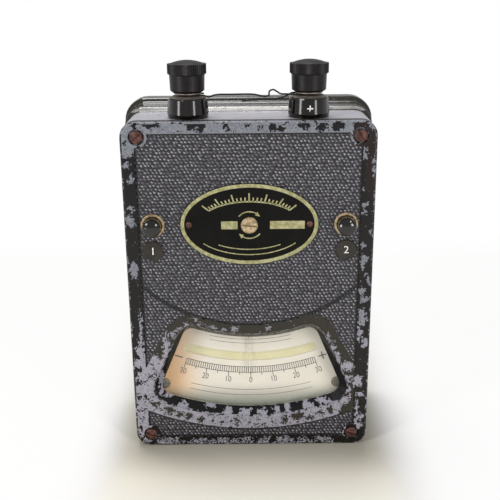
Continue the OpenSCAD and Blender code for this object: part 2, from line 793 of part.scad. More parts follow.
module key_bush(x) {
    front = field_depth - 1.2;
    bore = plunger_r + running;
    color(brass) turned([[bush_bore_r, front + 0.2], [bush_bore_r + 0.2, front],
        [bush_flange_r - 0.3, front], [bush_flange_r, front + 0.3], [bush_flange_r, field_depth],
        [bush_r, field_depth], [bush_r, bush_end], [bore, bush_end], [bore, bush_floor],
        [bush_bore_r, bush_floor]], [x, key_z]);
}

module key_bush_nuts() {
    nut_h = 2;
    color(brass) for (s = [-1, 1]) translate([s * key_x, yd(cover_t), key_z]) rotate([-90, 0, 0])
        difference() {
            cylinder(r = bush_r + 1.7, h = nut_h, $fn = 6);
            translate([0, 0, -past]) cylinder(r = bush_r + fit, h = nut_h + 2 * past, $fn = 64);
        }
}

module key_disc(s) {
    front = field_depth - disc_t;
    color(enamel) turned([[0, front], [disc_r - 0.35, front], [disc_r, front + 0.35],
        [disc_r, field_depth], [disc_pin_r, field_depth], [disc_pin_r, cover_t + 0.4],
        [0, cover_t + 0.4]], [s * disc_x, key_z - disc_drop]);
}

// Contact boards behind the keys

board_w = 14;
board_h = 17;
board_boss_r = 2.4;
stud_gap = 2;
stud_face_r = 1.2;
stud_tail_r = 0.8;
function board_holes() = [for (s = [-1, 1], t = [-1, 1]) [s * (key_x - t * 4), key_z + t * 6.2]];
function stud_places() = [for (s = [-1, 1], t = [-1, 1]) [s * key_x, key_z + t * stud_gap]];

module contact_boards() {
    color(paxolin) for (s = [-1, 1]) difference() {
        slab(board_depth, board_depth + board_t) translate([s * key_x, 0])
            polygon(box_outline(board_w / 2, key_z - board_h / 2, key_z + board_h / 2, 1.5, 1.5, 4));
        for (at = board_holes())
            rod(small_screw_r + fit, board_depth - past, board_depth + board_t + past, at);
        for (at = stud_places())
            rod(stud_tail_r + fit, board_depth - past, board_depth + board_t + past, at);
    }
}

module contact_studs() {
    face = contact_disc_back + key_travel + 0.05;
    tail = board_depth + board_t + 1.6;
    color(brass) for (at = stud_places())
        turned([[0, face], [stud_face_r, face], [stud_face_r, board_depth], [stud_tail_r, board_depth],
            [stud_tail_r, tail], [0, tail]], at);
}

// Binding posts

spigot_r = 3;
insulator_t = 1.5;
insulator_r = 4.6;
lug_t = 0.5;
nut_t = 2.6;
nut_r = 4;
washer_z = collar_h + seat_h + clamp_gap;
cap_z = washer_z + washer_t + 0.03;

// Places its children on the top of the case, on a post's axis
module at_post(s) {
    translate([s * post_x, yd(post_depth), case_h]) children();
}

module post_collar(s) {
    bevel = 1.5;
    color(bakelite) at_post(s) rotate_extrude() polygon([[stud_r + fit, -wall], [spigot_r, -wall],
        [spigot_r, 0], [collar_r - 0.3, 0], [collar_r - 0.05, bevel - 0.3], [collar_r, bevel],
        [collar_top_r + 0.08, collar_h - 0.35], [collar_top_r - 0.3, collar_h],
        [stud_r + fit, collar_h]]);
}

module post_seats() {
    top = collar_h + seat_h;
    color(steel) for (s = [-1, 1]) at_post(s) rotate_extrude() polygon([[stud_r + fit, collar_h],
        [seat_r - 0.15, collar_h], [seat_r, collar_h + 0.2], [seat_r - 0.7, top - 0.2],
        [seat_r - 0.95, top], [stud_r + fit, top]]);
}

module clamp_washer(s) {
    color(steel) at_post(s) translate([0, 0, washer_z]) difference() {
        cylinder(r = cap_foot_r - 1.3, h = washer_t);
        translate([0, 0, -past]) cylinder(r = stud_r + running, h = washer_t + 2 * past);
    }
}

module post_cap(s) {
    chamfer = 0.8;
    rim_z = cap_h - cap_rim_h;
    dome_r = cap_rim_r - 0.85;
    sphere_r = (dome_r * dome_r + cap_dome_h * cap_dome_h) / (2 * cap_dome_h);
    half = asin(dome_r / sphere_r);
    apex = cap_h + cap_dome_h;
    dome = [for (i = [6 : -1 : 0]) [sphere_r * sin(half * i / 6), apex - sphere_r * (1 - cos(half * i / 6))]];
    bore_h = cap_h - 1.3;
    color(bakelite) at_post(s) translate([0, 0, cap_z]) difference() {
        union() {
            rotate_extrude() polygon(concat([[0, 0], [cap_foot_r - 1.1, 0], [cap_foot_r, chamfer],
                [cap_body_r, rim_z - 0.5], [cap_body_r + 0.35, rim_z], [cap_rim_r - 0.3, rim_z + 0.1],
                [cap_rim_r - 0.3, cap_h - 0.05], [dome_r + 0.3, cap_h - 0.05]], dome));
            translate([0, 0, rim_z]) linear_extrude(cap_rim_h - 0.05) polygon([for (i = [0 : 2 * knurls - 1])
                let (r = cap_rim_r - (i % 2) * knurl_depth, a = 180 * i / knurls) r * [cos(a), sin(a)]]);
        }
        translate([0, 0, -past]) cylinder(r = stud_r + running, h = bore_h + past);
    }
}

module post_studs() {
    foot = wall + insulator_t + lug_t + nut_t + 1.4;
    // Thread that still holds a cap when it is fully open
    grip = 4.1;
    color(brass) for (s = [-1, 1]) at_post(s) translate([0, 0, -foot])
        cylinder(r = stud_r, h = foot + cap_z + post_pitch * post_turns + grip);
}

module post_insulators() {
    color(paxolin) for (s = [-1, 1]) at_post(s) translate([0, 0, -wall - insulator_t]) difference() {
        cylinder(r = insulator_r, h = insulator_t);
        translate([0, 0, -past]) cylinder(r = stud_r + fit, h = insulator_t + 2 * past);
    }
}

module solder_lugs() {
    eye_x = 9;
    arm_w = 2.2;
    color(brass) for (s = [-1, 1]) at_post(s) translate([0, 0, -wall - insulator_t - lug_t]) difference() {
        union() {
            cylinder(r = 3.6, h = lug_t);
            translate([s * eye_x / 2 - eye_x / 2, -arm_w / 2, 0]) cube([eye_x, arm_w, lug_t]);
            translate([s * eye_x, 0, 0]) cylinder(r = 1.5, h = lug_t);
        }
        translate([0, 0, -past]) cylinder(r = stud_r + fit, h = lug_t + 2 * past);
        translate([s * eye_x, 0, -past]) cylinder(r = 0.7, h = lug_t + 2 * past);
    }
}

module post_nuts() {
    foot = wall + insulator_t + lug_t + nut_t;
    color(brass) for (s = [-1, 1]) at_post(s) translate([0, 0, -foot]) difference() {
        cylinder(r = nut_r, h = nut_t, $fn = 6);
        translate([0, 0, -past]) cylinder(r = stud_r + fit, h = nut_t + 2 * past, $fn = 64);
    }
}

// Shorting wire between the posts: places are measured from the middle, the posts' depth
// and the top of the case
wire_height = collar_h + seat_h + clamp_gap / 2;
wire_turn_r = stud_r + wire_r + 0.2;

function wrap(x, a0, a1, n) = [for (i = [0 : n]) [x + wire_turn_r * cos(a0 + (a1 - a0) * i / n),
    wire_turn_r * sin(a0 + (a1 - a0) * i / n), wire_height]];
function wire_route() = concat(
    [[-post_x + 5.6, 2.6, wire_height], [-post_x + 3.4, 2.9, wire_height]],
    wrap(-post_x, 60, 300, 5),
    [[-post_x + 3.4, -2.8, wire_height], [-post_x + 5.8, -3.1, wire_height], [-13.7, -2.8, 7.3],
     [-11.9, -2.2, 7.8], [-9.6, -1.8, 8], [-6, -1.2, 7.9], [-1, -0.8, 7.9], [1.9, -0.9, 7.8],
     [4, -1, 7.4], [5.9, -1.2, 7.1], [7.2, -0.9, 7.4], [7.25, -0.6, 8], [7.6, 0, 8.9], [8.9, 0.4, 9.2],
     [10.2, 0, 8.5], [11.4, -0.6, 7.9], [13.4, -1.4, 7.9], [post_x - 5.4, -2.2, wire_height],
     [post_x - 3.4, -2.7, wire_height]],
    wrap(post_x, 240, 480, 5),
    [[post_x - 3.6, 2.5, wire_height], [post_x - 6, 1.8, wire_height], [13.2, 0.4, 7], [10.4, -0.6, 6.3],
     [6, -1.2, 6.1], [1.5, -1.4, 5.9], [-2.2, -1.5, 5.7]]);

module shorting_wire() {
    color([0.08, 0.08, 0.08]) translate([0, yd(post_depth), case_h]) swept(curve(wire_route(), 2), wire_r, 8);
}

// Movement

screw_half = 7;
pole_screw_x = 11.2;
magnet_bolt_r = 1.2;
bridge_screw_x = 9;

module pole_piece(s) {
    color(steel) difference() {
        slab(pole_depth, pole_back) translate([s > 0 ? pole_gap : -pole_half, pivot_z - pole_height])
            square([pole_half - pole_gap, 2 * pole_height]);
        rod(pole_bore_r, pole_depth - past, pole_back + past, [0, pivot_z]);
        for (t = [-1, 1]) {
            rod(bolt_r + fit, pole_back - bolt_bite - 0.4, pole_back + past,
                [s * pole_screw_x, pivot_z + t * bolt_rise]);
            translate([s * (pole_half - 4.4), yd(magnet_mid), pivot_z + t * screw_half]) rotate([0, s * 90, 0])
                cylinder(r = magnet_bolt_r + fit, h = 6);
            translate([s * bridge_screw_x, yd(magnet_mid), pivot_z + pole_height - 3.4])
                cylinder(r = small_screw_r + fit, h = 5);
        }
        rod(small_screw_r + fit, pole_depth - past, pole_depth + small_screw_len, [s * pole_screw_x, pivot_z]);
        rod(small_screw_r + fit, pole_back - small_screw_len, pole_back + past, [s * pole_screw_x, pivot_z]);
    }
}

magnet_mid = pole_depth + pole_len / 2;

module magnet() {
    top = pivot_z + 10.5;
    bend_z = pivot_z - magnet_reach;
    outer = pole_half + magnet_t;
    color([0.5, 0.16, 0.12]) difference() {
        slab(magnet_mid - magnet_w / 2, magnet_mid + magnet_w / 2) difference() {
            union() {
                translate([0, bend_z]) circle(r = outer);
                translate([-outer, bend_z]) square([2 * outer, top - bend_z]);
            }
            translate([0, bend_z]) circle(r = pole_half);
            translate([-pole_half, bend_z]) square([2 * pole_half, top - bend_z + past]);
        }
        for (s = [-1, 1], t = [-1, 1])
            translate([s * (pole_half - past), yd(magnet_mid), pivot_z + t * screw_half])
                rotate([0, s * 90, 0]) cylinder(r = magnet_bolt_r + fit, h = magnet_t + 2 * past);
    }
}

module core() {
    color(steel) difference() {
        rod(core_r, pole_depth, pole_back, [0, pivot_z]);
        translate([0, yd(magnet_mid), pivot_z + core_r - core_sink - 0.1])
            cylinder(r = core_pin_r + fit, h = 4);
    }
}

// Brass bar across the poles whose pin holds the core
core_pin_r = 1.8;
core_sink = 2.1;

module core_bridge() {
    top = pivot_z + pole_height;
    foot = pivot_z + core_r - core_sink;
    half = pole_half - 2;
    width = 7;
    color(brass) difference() {
        union() {
            translate([-half, yd(magnet_mid) - width / 2, top]) cube([2 * half, width, bridge_t]);
            translate([0, yd(magnet_mid), foot]) cylinder(r = core_pin_r, h = top - foot + join);
        }
        for (s = [-1, 1]) translate([s * bridge_screw_x, yd(magnet_mid), top - past])
            cylinder(r = small_screw_r + fit, h = bridge_t + 2 * past);
    }
}

// Spacing of the moving system along its axis, as depths
bridge_front = pole_depth - 6.6;
hair_front = pole_depth - 4.4;
hair_w = 0.5;
hub_front = pole_depth - 3.7;
hub_r = 1.25;
ring_r = 1.9;
ring_t = 0.5;
coil_front = pole_depth - 0.8;
coil_back = pole_back + 0.8;
coil_skin = former_t + winding_t;
rear_hub = coil_back + coil_skin + 0.8;
hair_rear = rear_hub + 0.4;
bridge_rear = pole_back + 4.4;

// Bridge across the poles: a bar on two feet
module bridge(bar_front, bar_back, foot_front, foot_back) {
    half = pole_half - 1;
    foot_w = 3.4;
    hole_front = min(bar_front, foot_front) - past;
    hole_back = max(bar_back, foot_back) + past;
    difference() {
        union() {
            slab(bar_front, bar_back) translate([-half, pivot_z - bridge_half])
                square([2 * half, 2 * bridge_half]);
            for (s = [-1, 1]) slab(foot_front, foot_back)
                translate([s > 0 ? half - foot_w : -half, pivot_z - bridge_half])
                    square([foot_w, 2 * bridge_half]);
        }
        rod(jewel_r + fit, bar_front - past, bar_back + past, [0, pivot_z]);
        for (s = [-1, 1]) rod(small_screw_r + fit, hole_front, hole_back, [s * pole_screw_x, pivot_z]);
    }
}

jewel_r = 1.5;

module front_bridge() {
    color(brass) bridge(bridge_front, bridge_front + bridge_t, bridge_front + bridge_t - join, pole_depth);
}

module rear_bridge() {
    color(brass) {
        bridge(bridge_rear, bridge_rear + bridge_t, pole_back, bridge_rear + join);
        slab(bridge_rear, bridge_rear + bridge_t) translate([-0.8, pivot_z + bridge_half - join])
            square([1.6, abutment_z + 0.8 - bridge_half + join]);
        rod(0.4, hair_rear, bridge_rear + join, [0, pivot_z + abutment_z]);
    }
}

// Bearing screws: each has a blind jewel hole for a pivot
module jewel_screws() {
    cup = 0.5;
    front_end = bridge_front + bridge_t + 0.3;
    rear_end = bridge_rear - 0.3;
    neck_top = zero_arm_depth - 0.15;
    color(brass) {
        difference() {
            turned([[0, neck_top - 0.8], [2.2, neck_top - 0.8], [2.2, neck_top], [jewel_neck_r, neck_top],
                [jewel_neck_r, bridge_front], [jewel_r, bridge_front], [jewel_r, front_end],
                [0, front_end]], [0, pivot_z]);
            rod(pivot_r + running, front_end - cup, front_end + past, [0, pivot_z]);
            slot_y([0, pivot_z], neck_top - 0.4 - 2 * past, 2.2, 0.5, 70);
        }
        difference() {
            turned([[0, rear_end], [jewel_r, rear_end], [jewel_r, bridge_rear + bridge_t + 2.1],
                [0, bridge_rear + bridge_t + 2.1]], [0, pivot_z]);
            rod(pivot_r + running, rear_end - past, rear_end + cup, [0, pivot_z]);
            slot_y([0, pivot_z], bridge_rear + bridge_t + 1.7, 2, 0.5, 20);
        }
        translate([0, yd(bridge_rear + bridge_t), pivot_z]) rotate([-90, 0, 0]) difference() {
            cylinder(r = 3, h = 1.5, $fn = 6);
            translate([0, 0, -past]) cylinder(r = jewel_r + fit, h = 1.5 + 2 * past, $fn = 64);
        }
        difference() {
            rod(2.6, bridge_front - 0.5, bridge_front, [0, pivot_z]);
            rod(jewel_neck_r + fit, bridge_front - past, bridge_front + past, [0, pivot_z]);
        }
    }
}

// Flat spiral spring about the pivot
module hairspring(depth) {
    turns = 3.5;
    n = 24;
    r0 = 1.25;
    r1 = abutment_z - 0.5;
    strip = 0.14;
    total = turns * n;
    function radius(i) = r0 + (r1 - r0) * i / total;
    function angle(i) = 90 + 360 * (i - total) / n;
    outer = [for (i = [0 : total]) (radius(i) + strip) * [cos(angle(i)), sin(angle(i))]];
    inner = [for (i = [total : -1 : 0]) radius(i) * [cos(angle(i)), sin(angle(i))]];
    slab(depth, depth + hair_w) translate([0, pivot_z]) polygon(concat(outer, inner));
}

module hairspring_front() {
    color(copper) hairspring(hair_front);
}

module hairspring_rear() {
    color(copper) hairspring(hair_rear);
}

// Turns the moving system to the reading that the pointer shows at rest
module at_rest_reading() {
    translate([0, 0, pivot_z]) rotate([0, -rest_reading * division, 0]) translate([0, 0, -pivot_z]) children();
}

// Outline of the coil seen from above, grown by out from the inside of the former
function coil_outline(out, r = 1) =
    let (flat = box_outline(coil_half_w + out, coil_front - out, coil_back + out, r + out, r + out, 5))
    [for (p = flat) [p[0], yd(p[1])]];

module coil_ring(inner, outer, half_h) {
    translate([0, 0, pivot_z - half_h]) linear_extrude(2 * half_h) difference() {
        polygon(coil_outline(outer));
        polygon(coil_outline(inner));
    }
}

module coil_former() {
    color(steel) at_rest_reading() coil_ring(0, former_t, coil_half_h);
}

module coil_winding() {
    color(copper) at_rest_reading() coil_ring(former_t, coil_skin, coil_half_h - 0.3);
}

module coil_pivots() {
    tip = 0.45;
    front_tip = bridge_front + bridge_t + 0.3 - tip;
    rear_tip = bridge_rear - 0.3 + tip;
    coil_face = coil_front - coil_skin;
    coil_rear_face = coil_back + coil_skin;
    color(steel) at_rest_reading() {
        turned([[0, front_tip], [0.1, front_tip], [pivot_r, front_tip + 0.25], [pivot_r, hair_front - 0.1],
            [1, hair_front - 0.1], [1, hub_front], [hub_r, hub_front], [hub_r, hub_front + 2 * ring_t],
            [2.6, hub_front + 2 * ring_t + 0.2], [2.6, coil_face], [0, coil_face]], [0, pivot_z]);
        turned([[0, coil_rear_face], [2.6, coil_rear_face], [2, rear_hub], [1, rear_hub],
            [1, hair_rear + hair_w + 0.1], [pivot_r, hair_rear + hair_w + 0.1], [pivot_r, rear_tip - 0.25],
            [0.1, rear_tip], [0, rear_tip]], [0, pivot_z]);
    }
}

// Pointer: a fine tube that steps forward past the dial's upper edge, with a knife-edge tip
module pointer() {
    stem_r = 0.32;
    root_y = yd(hub_front + ring_t / 2);
    tip_y = yd(pointer_depth);
    bend = [22, 26.5];
    blade_start = opening_r0;
    blade = [0.18, 0.7, pointer_len - blade_start];
    color([0.1, 0.1, 0.1]) at_rest_reading() {
        hub_ring(hub_front);
        swept([[0, root_y, pivot_z - hub_r - 0.3], [0, root_y, pivot_z - bend[0]],
            [0, tip_y, pivot_z - bend[1]], [0, tip_y, pivot_z - blade_start - 2]], stem_r);
        translate([-blade[0] / 2, tip_y - blade[1] / 2, pivot_z - pointer_len]) cube(blade);
    }
}

// Ring pressed on the hub of the moving system
module hub_ring(depth) {
    difference() {
        rod(ring_r, depth, depth + ring_t, [0, pivot_z]);
        rod(hub_r, depth - past, depth + ring_t + past, [0, pivot_z]);
    }
}

// Cross arms with sliding weights that balance the pointer
module balance_weights() {
    arm_r = 0.22;
    weight_r = 0.8;
    depth = hub_front + 1.5 * ring_t;
    root = hub_r + 0.2;
    // Turn of each arm, its reach, and where its weight starts and ends
    arms = [[0, 12.4, 7.4, 12], [90, 7.8, 5.6, 7.4], [-90, 7.8, 5.6, 7.4]];
    color(brass) at_rest_reading() {
        hub_ring(hub_front + ring_t);
        for (a = arms) translate([0, yd(depth), pivot_z]) rotate([0, a[0], 0]) {
            translate([0, 0, root]) cylinder(r = arm_r, h = a[1] - root);
            translate([0, 0, a[2]]) cylinder(r = weight_r, h = a[3] - a[2]);
        }
    }
}

// A small cheese-head screw that enters towards the back, down to a depth
module rear_screw(at, seat, tip, turn) {
    difference() {
        union() {
            rod(small_screw_r, seat - join, tip, at);
            rod(small_screw_head_r, seat - small_screw_head_h, seat, at);
        }
        slot_y(at, seat - small_screw_head_h + 0.4 - 2 * past, small_screw_head_r, 0.5, turn);
    }
}

// Screws of the bridges, magnet, contact boards and resistor
module movement_screws() {
    rear_seat = bridge_rear + bridge_t;
    magnet_bite = 4;
    bar_bite = 3;
    color(steel) {
        for (s = [-1, 1]) {
            at = [s * pole_screw_x, pivot_z];
            rear_screw(at, bridge_front, pole_depth + small_screw_len - 0.3, 30 * s);
            small_screw(at, rear_seat, rear_seat - pole_back + small_screw_len - 0.3);
            translate([s * bridge_screw_x, yd(magnet_mid), pivot_z + pole_height]) {
                translate([0, 0, -bar_bite]) cylinder(r = small_screw_r, h = bar_bite + bridge_t);
                translate([0, 0, bridge_t]) cylinder(r = small_screw_head_r, h = small_screw_head_h);
            }
            for (t = [-1, 1]) translate([0, yd(magnet_mid), pivot_z + t * screw_half]) rotate([0, s * 90, 0]) {
                translate([0, 0, pole_half - magnet_bite])
                    cylinder(r = magnet_bolt_r, h = magnet_t + magnet_bite);
                translate([0, 0, pole_half + magnet_t]) cylinder(r = 2.1, h = 1.3);
            }
        }
        for (at = board_holes())
            rear_screw(at, board_depth, board_depth + board_t + small_screw_len - 0.2, 15);
        rear_screw(spool_at, spool_front, back_inner + spool_bite, 50);
    }
}

// Series resistor of the first key

spool_at = [spool_x, spool_z];
spool_front = back_inner - spool_len;
spool_bite = 1.1;

module resistor_spool() {
    bore = small_screw_r + fit;
    inner_front = spool_front + spool_cheek;
    inner_back = back_inner - spool_cheek;
    color(paxolin) turned([[bore, spool_front], [spool_r, spool_front], [spool_r, inner_front],
        [spool_core_r, inner_front], [spool_core_r, inner_back], [spool_r, inner_back],
        [spool_r, back_inner], [bore, back_inner]], spool_at);
}

module resistor_winding() {
    inner_front = spool_front + spool_cheek;
    inner_back = back_inner - spool_cheek;
    color([0.25, 0.32, 0.2]) turned([[spool_core_r, inner_front], [spool_wound_r, inner_front],
        [spool_wound_r, inner_back], [spool_core_r, inner_back]], spool_at);
}

case();
front_cover();
cover_gasket();
cover_screws();
window_glass();
glass_retainer();
retainer_screws();
nameplate();
nameplate_pins();
zero_screw();
zero_arm();
key_button(-key_x);  // key_button_left
key_button(key_x);  // key_button_right
key_plunger(-key_x);  // key_plunger_left
key_plunger(key_x);  // key_plunger_right
key_spring(-key_x);  // key_spring_left
key_spring(key_x);  // key_spring_right
key_bush(-key_x);  // key_bush_left
key_bush(key_x);  // key_bush_right
key_bush_nuts();
key_disc(-1);  // key_disc_left
key_disc(1);  // key_disc_right
contact_boards();
contact_studs();
post_cap(-1);  // post_cap_left
post_cap(1);  // post_cap_right
clamp_washer(-1);  // clamp_washer_left
clamp_washer(1);  // clamp_washer_right
post_seats();
post_collar(-1);  // post_collar_left
post_collar(1);  // post_collar_right
post_studs();
post_insulators();
solder_lugs();
post_nuts();
shorting_wire();
magnet();
pole_piece(-1);  // pole_piece_left
pole_piece(1);  // pole_piece_right
core();
core_bridge();
front_bridge();
rear_bridge();
movement_screws();
jewel_screws();
hairspring_front();
hairspring_rear();
coil_former();
coil_winding();
coil_pivots();
pointer();
balance_weights();
dial_plate();
dial_mirror();
dial_screws();
dial_posts();
back_screws();
resistor_spool();
resistor_winding();
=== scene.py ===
"""Finishes and fine detail of a portable pointer galvanometer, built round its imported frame.

Lengths in the classes below are millimetres. A depth is a distance behind the front face, and the
scene itself is in metres in the frame's own axes: X to the right, Y to the back and Z up.
"""

import logging
import math
from collections.abc import Iterable, Sequence
from dataclasses import dataclass, field
from enum import Enum

import bmesh
import bpy
from mathutils import Matrix, Vector


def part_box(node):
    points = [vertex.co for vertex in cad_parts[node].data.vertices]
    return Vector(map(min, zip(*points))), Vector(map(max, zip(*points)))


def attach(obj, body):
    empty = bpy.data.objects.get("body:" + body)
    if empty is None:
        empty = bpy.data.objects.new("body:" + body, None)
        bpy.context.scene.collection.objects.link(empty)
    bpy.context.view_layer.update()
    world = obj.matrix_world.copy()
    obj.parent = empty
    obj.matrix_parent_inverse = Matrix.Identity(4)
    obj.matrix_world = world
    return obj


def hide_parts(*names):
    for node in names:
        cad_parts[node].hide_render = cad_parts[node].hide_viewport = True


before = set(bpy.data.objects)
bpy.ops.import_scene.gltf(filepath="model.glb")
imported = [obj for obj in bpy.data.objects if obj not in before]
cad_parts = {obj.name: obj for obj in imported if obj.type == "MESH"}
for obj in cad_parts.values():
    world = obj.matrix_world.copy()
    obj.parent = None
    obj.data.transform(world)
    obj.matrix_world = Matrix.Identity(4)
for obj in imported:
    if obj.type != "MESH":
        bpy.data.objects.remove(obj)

log = logging.getLogger("galvanometer")

MM = 0.001
CASE_HALF_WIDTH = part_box("case")[1].x / MM
COVER_LOW, COVER_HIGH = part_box("front_cover")
FRONT_Y = COVER_LOW.y
# Height of the cover's top edge and of the case's ledge behind it
LEDGE_Z = COVER_HIGH.z / MM
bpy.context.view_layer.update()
STATIC_BODY = "instrument"
Tree = bpy.types.NodeTree
Socket = bpy.types.NodeSocket


def in_frame(x: float, depth: float, z: float) -> Vector:
    """Turn millimetres and a depth behind the front face into a point of the frame."""
    return Vector((x * MM, FRONT_Y + depth * MM, z * MM))


def centre_mm(node: str) -> tuple[float, float, float]:
    """Find the middle of a CAD node's box.

    Args:
        node: The node's name.

    Returns:
        Its x, depth and z in millimetres.
    """
    low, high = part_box(node)
    middle = (low + high) / 2
    return middle.x / MM, (middle.y - FRONT_Y) / MM, middle.z / MM


def front_depth(node: str) -> float:
    """Give the depth in millimetres of a CAD node's frontmost point."""
    return (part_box(node)[0].y - FRONT_Y) / MM


def linear(code: str) -> tuple[float, float, float, float]:
    """Turn an sRGB hex colour into linear light.

    Args:
        code: A colour such as "#8c909c".

    Returns:
        Linear red, green, blue and an alpha of 1.
    """
    channels = [int(code[i : i + 2], 16) / 255 for i in (1, 3, 5)]
    light = [c / 12.92 if c <= 0.04045 else ((c + 0.055) / 1.055) ** 2.4 for c in channels]
    return (light[0], light[1], light[2], 1.0)


def add(
    tree: Tree, kind: str, inputs: dict | None = None, out: int | str = 0, **settings: object
) -> Socket:
    """Add a shader node with its settings, values and links.

    Args:
        tree: The node tree that takes the node.
        kind: The node's type without its ShaderNode prefix.
        inputs: Input name or number to a value or to the socket that feeds it.
        out: Name or number of the output to hand back.
        **settings: Properties of the node itself.

    Returns:
        The chosen output socket, or the first input of a node that has no output.
    """
    node = tree.nodes.new("ShaderNode" + kind)
    for name, value in settings.items():
        setattr(node, name, value)
    for name, value in (inputs or {}).items():
        if isinstance(value, bpy.types.NodeSocket):
            tree.links.new(value, node.inputs[name])
        else:
            node.inputs[name].default_value = value
    return node.outputs[out] if node.outputs else node.inputs[0]


class Finish:
    """A surface finish that makes one Blender material, the first time that it is asked for."""

    title: str
    slot: str

    def material(self) -> bpy.types.Material:
        """Give this finish's material, and build it if it isn't there yet.

        Returns:
            The material, one for each title.
        """
        known = bpy.data.materials.get(self.title)
        if known:
            return known
        material = bpy.data.materials.new(self.title)
        material.use_nodes = True
        tree = material.node_tree
        tree.nodes.clear()
        place = add(tree, "TexCoord", out="Object")
        millimetres = add(tree, "VectorMath", {0: place, 1: (1 / MM,) * 3}, operation="MULTIPLY")
        add(tree, "OutputMaterial", {"Surface": self.shade(tree, millimetres)})
        return material

    def shade(self, tree: Tree, place: Socket) -> Socket:
        """Build the shader.

        Args:
            tree: The material's node tree.
            place: Object coordinates in millimetres.

        Returns:
            The shader's output socket.
        """
        raise NotImplementedError


def blend_colours(tree: Tree, mask: Socket, low: object, high: object) -> Socket:
    """Mix two colours or colour sockets by a mask.

    Args:
        tree: The material's node tree.
        mask: The share of the second colour.
        low: The first colour or its socket.
        high: The second colour or its socket.

    Returns:
        The mixed colour's socket.
    """
    node = add(tree, "Mix", out="Result", data_type="RGBA").node
    colours = [s for s in node.inputs if s.type == "RGBA"]
    tree.links.new(mask, node.inputs["Factor"])
    for socket, value in zip(colours, (low, high)):
        if isinstance(value, bpy.types.NodeSocket):
            tree.links.new(value, socket)
        else:
            socket.default_value = value
    return next(s for s in node.outputs if s.type == "RGBA")


def fade(
    tree: Tree, value: Socket, start: float, end: float, low: float = 0.0, high: float = 1.0
) -> Socket:
    """Turn a stretch of one value into a smooth step between two others.

    Args:
        tree: The material's node tree.
        value: The socket that is read.
        start: The value at which the step begins.
        end: The value at which it ends.
        low: What comes out before the step.
        high: What comes out after it.

    Returns:
        The stepped value's socket.
    """
    ports = {"Value": value, "From Min": start, "From Max": end, "To Min": low, "To Max": high}
    return add(tree, "MapRange", ports, interpolation_type="SMOOTHSTEP")


def noise(tree: Tree, place: Socket, grain: float, detail: float = 3.0, out: str = "Fac") -> Socket:
    """Give a noise whose blotches are about as wide as grain, in millimetres."""
    ports = {"Vector": place, "Scale": 1 / grain, "Detail": detail, "Roughness": 0.6}
    return add(tree, "TexNoise", ports, out)


def calculate(tree: Tree, operation: str, first: object, second: object) -> Socket:
    """Combine two values or sockets by one sum, product or other operation."""
    return add(tree, "Math", {0: first, 1: second}, operation=operation)


def above(tree: Tree, value: Socket, level: Socket, edge: float = 0.01) -> Socket:
    """Give a mask that is 1 where a value is above a level, with an edge so wide."""
    return fade(tree, calculate(tree, "SUBTRACT", value, level), 0.0, edge)


@dataclass(frozen=True)
class Step:
    """A smooth step on a value: where it begins and ends, and what comes out before and after it."""

    start: float
    end: float
    low: float = 0.0
    high: float = 1.0

    def on(self, tree: Tree, value: Socket) -> Socket:
        """Give the stepped value's socket."""
        return fade(tree, value, self.start, self.end, self.low, self.high)


@dataclass(frozen=True)
class PlainFinish(Finish):
    """A finish whose colour and gloss drift between two values in soft blotches over a fine grain."""

    title: str
    slot: str
    low: str
    high: str
    rough: tuple[float, float] = (0.35, 0.5)
    metallic: float = 0.0
    blotch: float = 4.0
    # Width of the fine grain, drawn coarser than the real one so that it shows
    grain: float = 0.35
    relief: float = 0.01
    coat: float = 0.0
    specular: float = 0.5

    def shade(self, tree: Tree, place: Socket) -> Socket:
        """Build a Principled shader from the two colours and the grain.

        Args:
            tree: The material's node tree.
            place: Object coordinates in millimetres.

        Returns:
            The shader's output socket.
        """
        mask = fade(tree, noise(tree, place, self.blotch), 0.35, 0.65)
        fine = noise(tree, place, self.grain, 2.0)
        ports = {
            "Base Color": blend_colours(tree, mask, linear(self.low), linear(self.high)),
            "Roughness": fade(tree, fine, 0.3, 0.7, *self.rough),
            "Metallic": self.metallic,
            "Coat Weight": self.coat,
            "Specular IOR Level": self.specular,
            "Normal": add(tree, "Bump", {"Height": fine, "Distance": self.relief * MM, "Strength": 1.0}),
        }
        return add(tree, "BsdfPrincipled", ports)


@dataclass(frozen=True)
class Patch:
    """An oval, or a square-cornered area, of the front: its middle and half sizes in X and Z."""

    x: float
    z: float
    half_width: float
    half_height: float
    square: bool = False


# Areas of the rims where most of the paint is gone
BARE_AREAS = (
    Patch(-4.5, 122.5, 40.0, 5.0, True),
    Patch(-42.2, 119.5, 3.6, 5.6),
    Patch(-42.3, 111.0, 1.6, 1.2),
    Patch(-41.2, 106.0, 0.7, 2.3),
    Patch(-41.5, 95.5, 1.0, 1.2),
    Patch(-42.6, 91.5, 1.6, 1.4),
    Patch(-41.8, 89.5, 1.1, 0.8),
    Patch(-41.9, 72.8, 1.4, 3.2),
    Patch(-41.0, 67.0, 0.5, 0.6),
    Patch(-40.5, 48.0, 0.6, 9.5),
    Patch(-41.2, 39.0, 1.6, 5.0),
    Patch(-38.5, 24.0, 9.0, 15.2),
    Patch(-43.4, 20.0, 1.6, 18.0),
    Patch(-31.6, 41.0, 1.1, 9.0),
    Patch(-41.0, 12.0, 3.0, 8.0),
    Patch(0.0, 12.0, 34.0, 6.4, True),
    Patch(29.0, 45.0, 0.7, 2.4),
    Patch(30.6, 41.0, 0.9, 3.0),
    Patch(32.3, 35.5, 1.2, 4.0),
    Patch(36.6, 33.2, 2.8, 2.2),
    Patch(35.4, 25.0, 2.9, 8.0),
    Patch(-3.0, 1.2, 34.0, 2.2, True),
    Patch(-41.8, 5.0, 3.4, 5.4),
)
